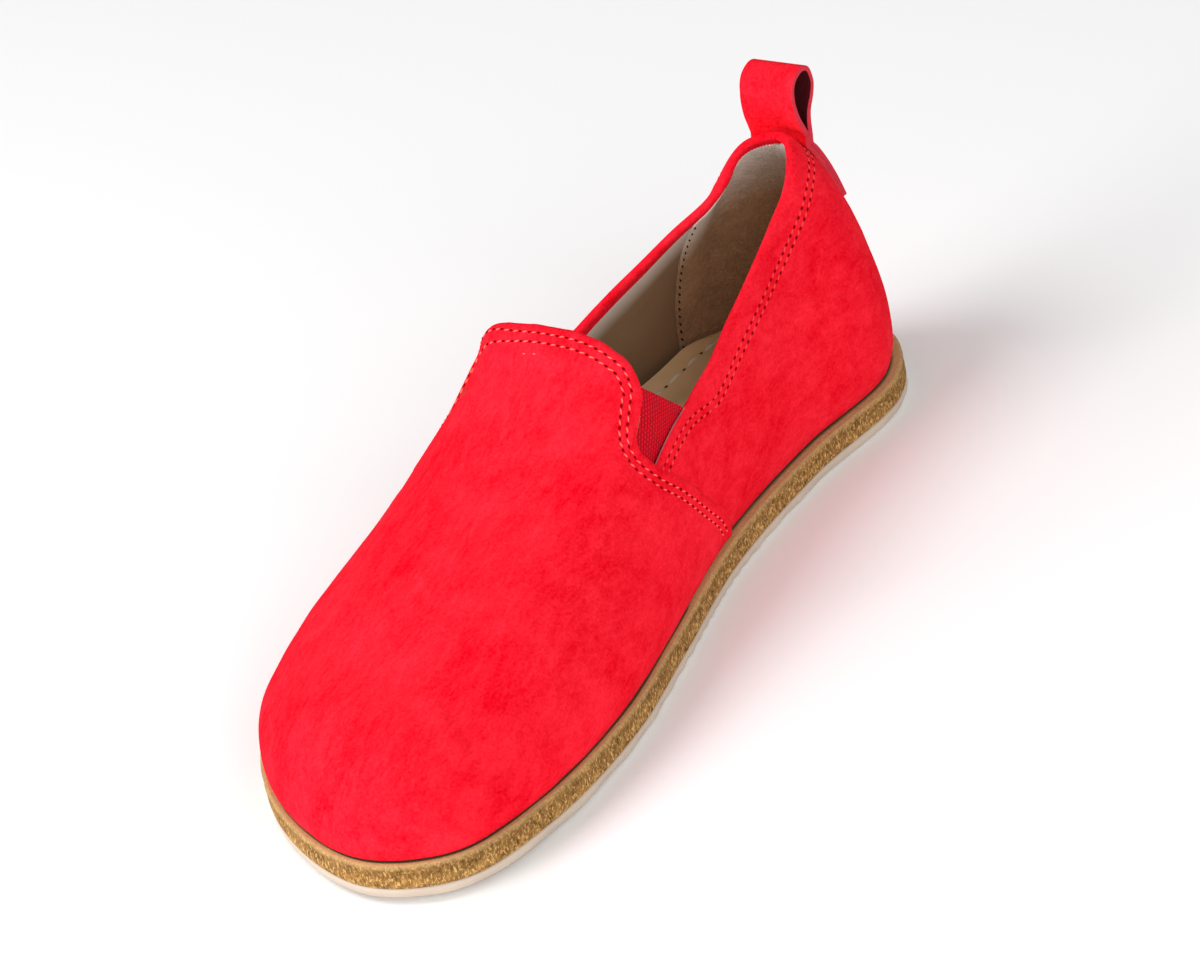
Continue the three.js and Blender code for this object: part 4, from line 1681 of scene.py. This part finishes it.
def sew_collar(context):
    """Two rows of stitches under the collar, which run over the strap at the heel."""
    last = shoe_last(context)
    sizes = context.scene.slip_on_sizes
    made = make_materials(context.scene.name)
    pitch = sizes.stitch_pitch / MM
    width = sizes.stitch_width / MM
    quarter = surface_tree(bpy.data.objects["quarter"])
    strap = surface_tree(bpy.data.objects["pull_strap"])
    strap_half = sizes.strap_width / MM / 2 - STRAP_SEAM_MARGIN
    lines = []
    for index in (0, 1):
        line = []
        for place in quarter_places(last):
            top, rim_x = collar_at(last, place)
            if rim_x > COLLAR_SEAM_END:
                continue
            angle = Surface(last, place, top, SEAM_SAMPLES).angle(collar_rows(rim_x)[index])
            across = abs(last.point(place, angle).y - HEEL_BACK_OFFSET)
            sewn = strap if rim_x < STRAP_SEAM_END and across < strap_half else quarter
            spot = laid(sewn, last.under(place, angle, LAP_STEP), last.normal(place, angle))
            line.append((sewn is strap, spot))
        for _on_strap, stretch in itertools.groupby(line, key=lambda item: item[0]):
            lines.append([spot for _on_strap, spot in stretch])
    stitched_piece(
        "collar_stitches", lines, pitch, pitch * COLLAR_STITCH, width * COLLAR_THREAD, NEEDLE_HOLE,
        (made["collar_thread"], made["needle_hole"]), STITCH_SLANT)


# Stage: places and sizes in metres, lights by place, target, size and power in watts

FLOOR_SIZE = 6.0
FLOOR_FINISH = (0.9, 0.1)
WORLD_STRENGTH = 0.42
STUDIO_LIGHTS = {
    "key light": ((0.70, -0.70, 1.40), (0.0, 0.0, 0.0), 0.9, 13.5),
    "front light": ((1.35, -0.60, 0.36), (0.0, 0.0, 0.05), 0.8, 14.0),
    "fill light": ((0.60, 1.20, 0.70), (0.0, 0.0, 0.05), 1.2, 12.0),
}
CAMERA_PLACE = (0.742345, 0.675550, 0.644991)
CAMERA_FORWARD = (-0.6358, -0.5710, -0.5194)
CAMERA_RIGHT = (-0.5311, 0.8271, -0.1842)
CAMERA_LENS = 135.8
CAMERA_SENSOR = 36.0
CAMERA_REACH = 20.0


def lay_floor(context):
    """Plain pale floor under the shoe."""
    bpy.ops.object.select_all(action="DESELECT")
    bpy.ops.mesh.primitive_plane_add(size=FLOOR_SIZE)
    floor = context.object
    floor.name = "floor"
    cover(floor, plain_material("floor", context.scene.slip_on_colours.floor, *FLOOR_FINISH))


def light_studio(context):
    """White surroundings and the studio's round lights."""
    world = bpy.data.worlds.new("studio")
    context.scene.world = world
    world.use_nodes = True
    background = world.node_tree.nodes["Background"]
    background.inputs["Color"].default_value = (1.0, 1.0, 1.0, 1.0)
    background.inputs["Strength"].default_value = WORLD_STRENGTH
    for name, (place, target, span, power) in STUDIO_LIGHTS.items():
        bpy.ops.object.light_add(type="AREA", location=place)
        light = context.object
        light.name = name
        light.data.shape = "DISK"
        light.data.size = span
        light.data.energy = power
        aim = Vector(target) - Vector(place)
        light.rotation_euler = aim.to_track_quat("-Z", "Y").to_euler()


def place_camera(context):
    """Camera over the toe's medial side, rolled so that the shoe points down its picture."""
    forward = Vector(CAMERA_FORWARD).normalized()
    right = Vector(CAMERA_RIGHT)
    right = (right - forward * right.dot(forward)).normalized()
    up = right.cross(forward)
    bpy.ops.object.camera_add(location=CAMERA_PLACE)
    camera = context.object
    camera.name = "camera"
    camera.rotation_euler = Matrix((right, up, -forward)).transposed().to_euler()
    camera.data.lens = CAMERA_LENS
    camera.data.sensor_width = CAMERA_SENSOR
    camera.data.clip_end = CAMERA_REACH
    context.scene.camera = camera


class SLIPON_OT_vamp(bpy.types.Operator):
    """Build the vamp and its tongue"""
    bl_idname = "slipon.vamp"
    bl_label = "Vamp"

    def execute(self, context):
        build_vamp(context)
        return {"FINISHED"}


class SLIPON_OT_quarter(bpy.types.Operator):
    """Build the quarter with its folded collar"""
    bl_idname = "slipon.quarter"
    bl_label = "Quarter"

    def execute(self, context):
        build_quarter(context)
        return {"FINISHED"}


class SLIPON_OT_lining(bpy.types.Operator):
    """Build the lining and the heel patch"""
    bl_idname = "slipon.lining"
    bl_label = "Lining"

    def execute(self, context):
        build_lining(context)
        return {"FINISHED"}


class SLIPON_OT_gores(bpy.types.Operator):
    """Build the elastic gores"""
    bl_idname = "slipon.gores"
    bl_label = "Gores"

    def execute(self, context):
        build_gores(context)
        return {"FINISHED"}


class SLIPON_OT_soles(bpy.types.Operator):
    """Build the insole, midsole and outsole"""
    bl_idname = "slipon.soles"
    bl_label = "Soles"

    def execute(self, context):
        build_outsole(context)
        build_midsole(context)
        build_insole(context)
        return {"FINISHED"}


class SLIPON_OT_loop(bpy.types.Operator):
    """Build the pull loop"""
    bl_idname = "slipon.loop"
    bl_label = "Pull loop"

    def execute(self, context):
        build_loop(context)
        return {"FINISHED"}


class SLIPON_OT_stitching(bpy.types.Operator):
    """Sew the rows of stitches"""
    bl_idname = "slipon.stitching"
    bl_label = "Stitching"

    def execute(self, context):
        sew_vamp(context)
        sew_collar(context)
        return {"FINISHED"}


class SLIPON_OT_stage(bpy.types.Operator):
    """Set the camera, lights and floor"""
    bl_idname = "slipon.stage"
    bl_label = "Stage"

    def execute(self, context):
        context.scene.view_settings.view_transform = "Standard"
        lay_floor(context)
        light_studio(context)
        place_camera(context)
        return {"FINISHED"}


OPERATORS = (
    SLIPON_OT_vamp,
    SLIPON_OT_quarter,
    SLIPON_OT_lining,
    SLIPON_OT_gores,
    SLIPON_OT_soles,
    SLIPON_OT_loop,
    SLIPON_OT_stitching,
    SLIPON_OT_stage,
)


class SLIPON_PT_panel(bpy.types.Panel):
    """Sizes, colours and pieces of the shoe"""
    bl_idname = "SLIPON_PT_panel"
    bl_label = "Slip-on Shoe"
    bl_space_type = "VIEW_3D"
    bl_region_type = "UI"
    bl_category = "Shoe"

    def draw(self, context):
        for group in (context.scene.slip_on_sizes, context.scene.slip_on_colours):
            for name in group.__annotations__:
                self.layout.prop(group, name)
        for operator in OPERATORS:
            self.layout.operator(operator.bl_idname)


CLASSES = (SlipOnSizes, SlipOnColours, *OPERATORS, SLIPON_PT_panel)


def register():
    """Adds the classes and the scene's properties."""
    for cls in CLASSES:
        bpy.utils.register_class(cls)
    bpy.types.Scene.slip_on_sizes = bpy.props.PointerProperty(type=SlipOnSizes)
    bpy.types.Scene.slip_on_colours = bpy.props.PointerProperty(type=SlipOnColours)


def unregister():
    """Takes the properties and the classes away again."""
    del bpy.types.Scene.slip_on_colours
    del bpy.types.Scene.slip_on_sizes
    for cls in reversed(CLASSES):
        bpy.utils.unregister_class(cls)


def main():
    """Builds the shoe piece by piece, then its stage."""
    register()
    bpy.ops.slipon.vamp()
    bpy.ops.slipon.quarter()
    bpy.ops.slipon.lining()
    bpy.ops.slipon.gores()
    bpy.ops.slipon.soles()
    bpy.ops.slipon.loop()
    bpy.ops.slipon.stitching()
    bpy.ops.slipon.stage()


if __name__ == "__main__":
    main()
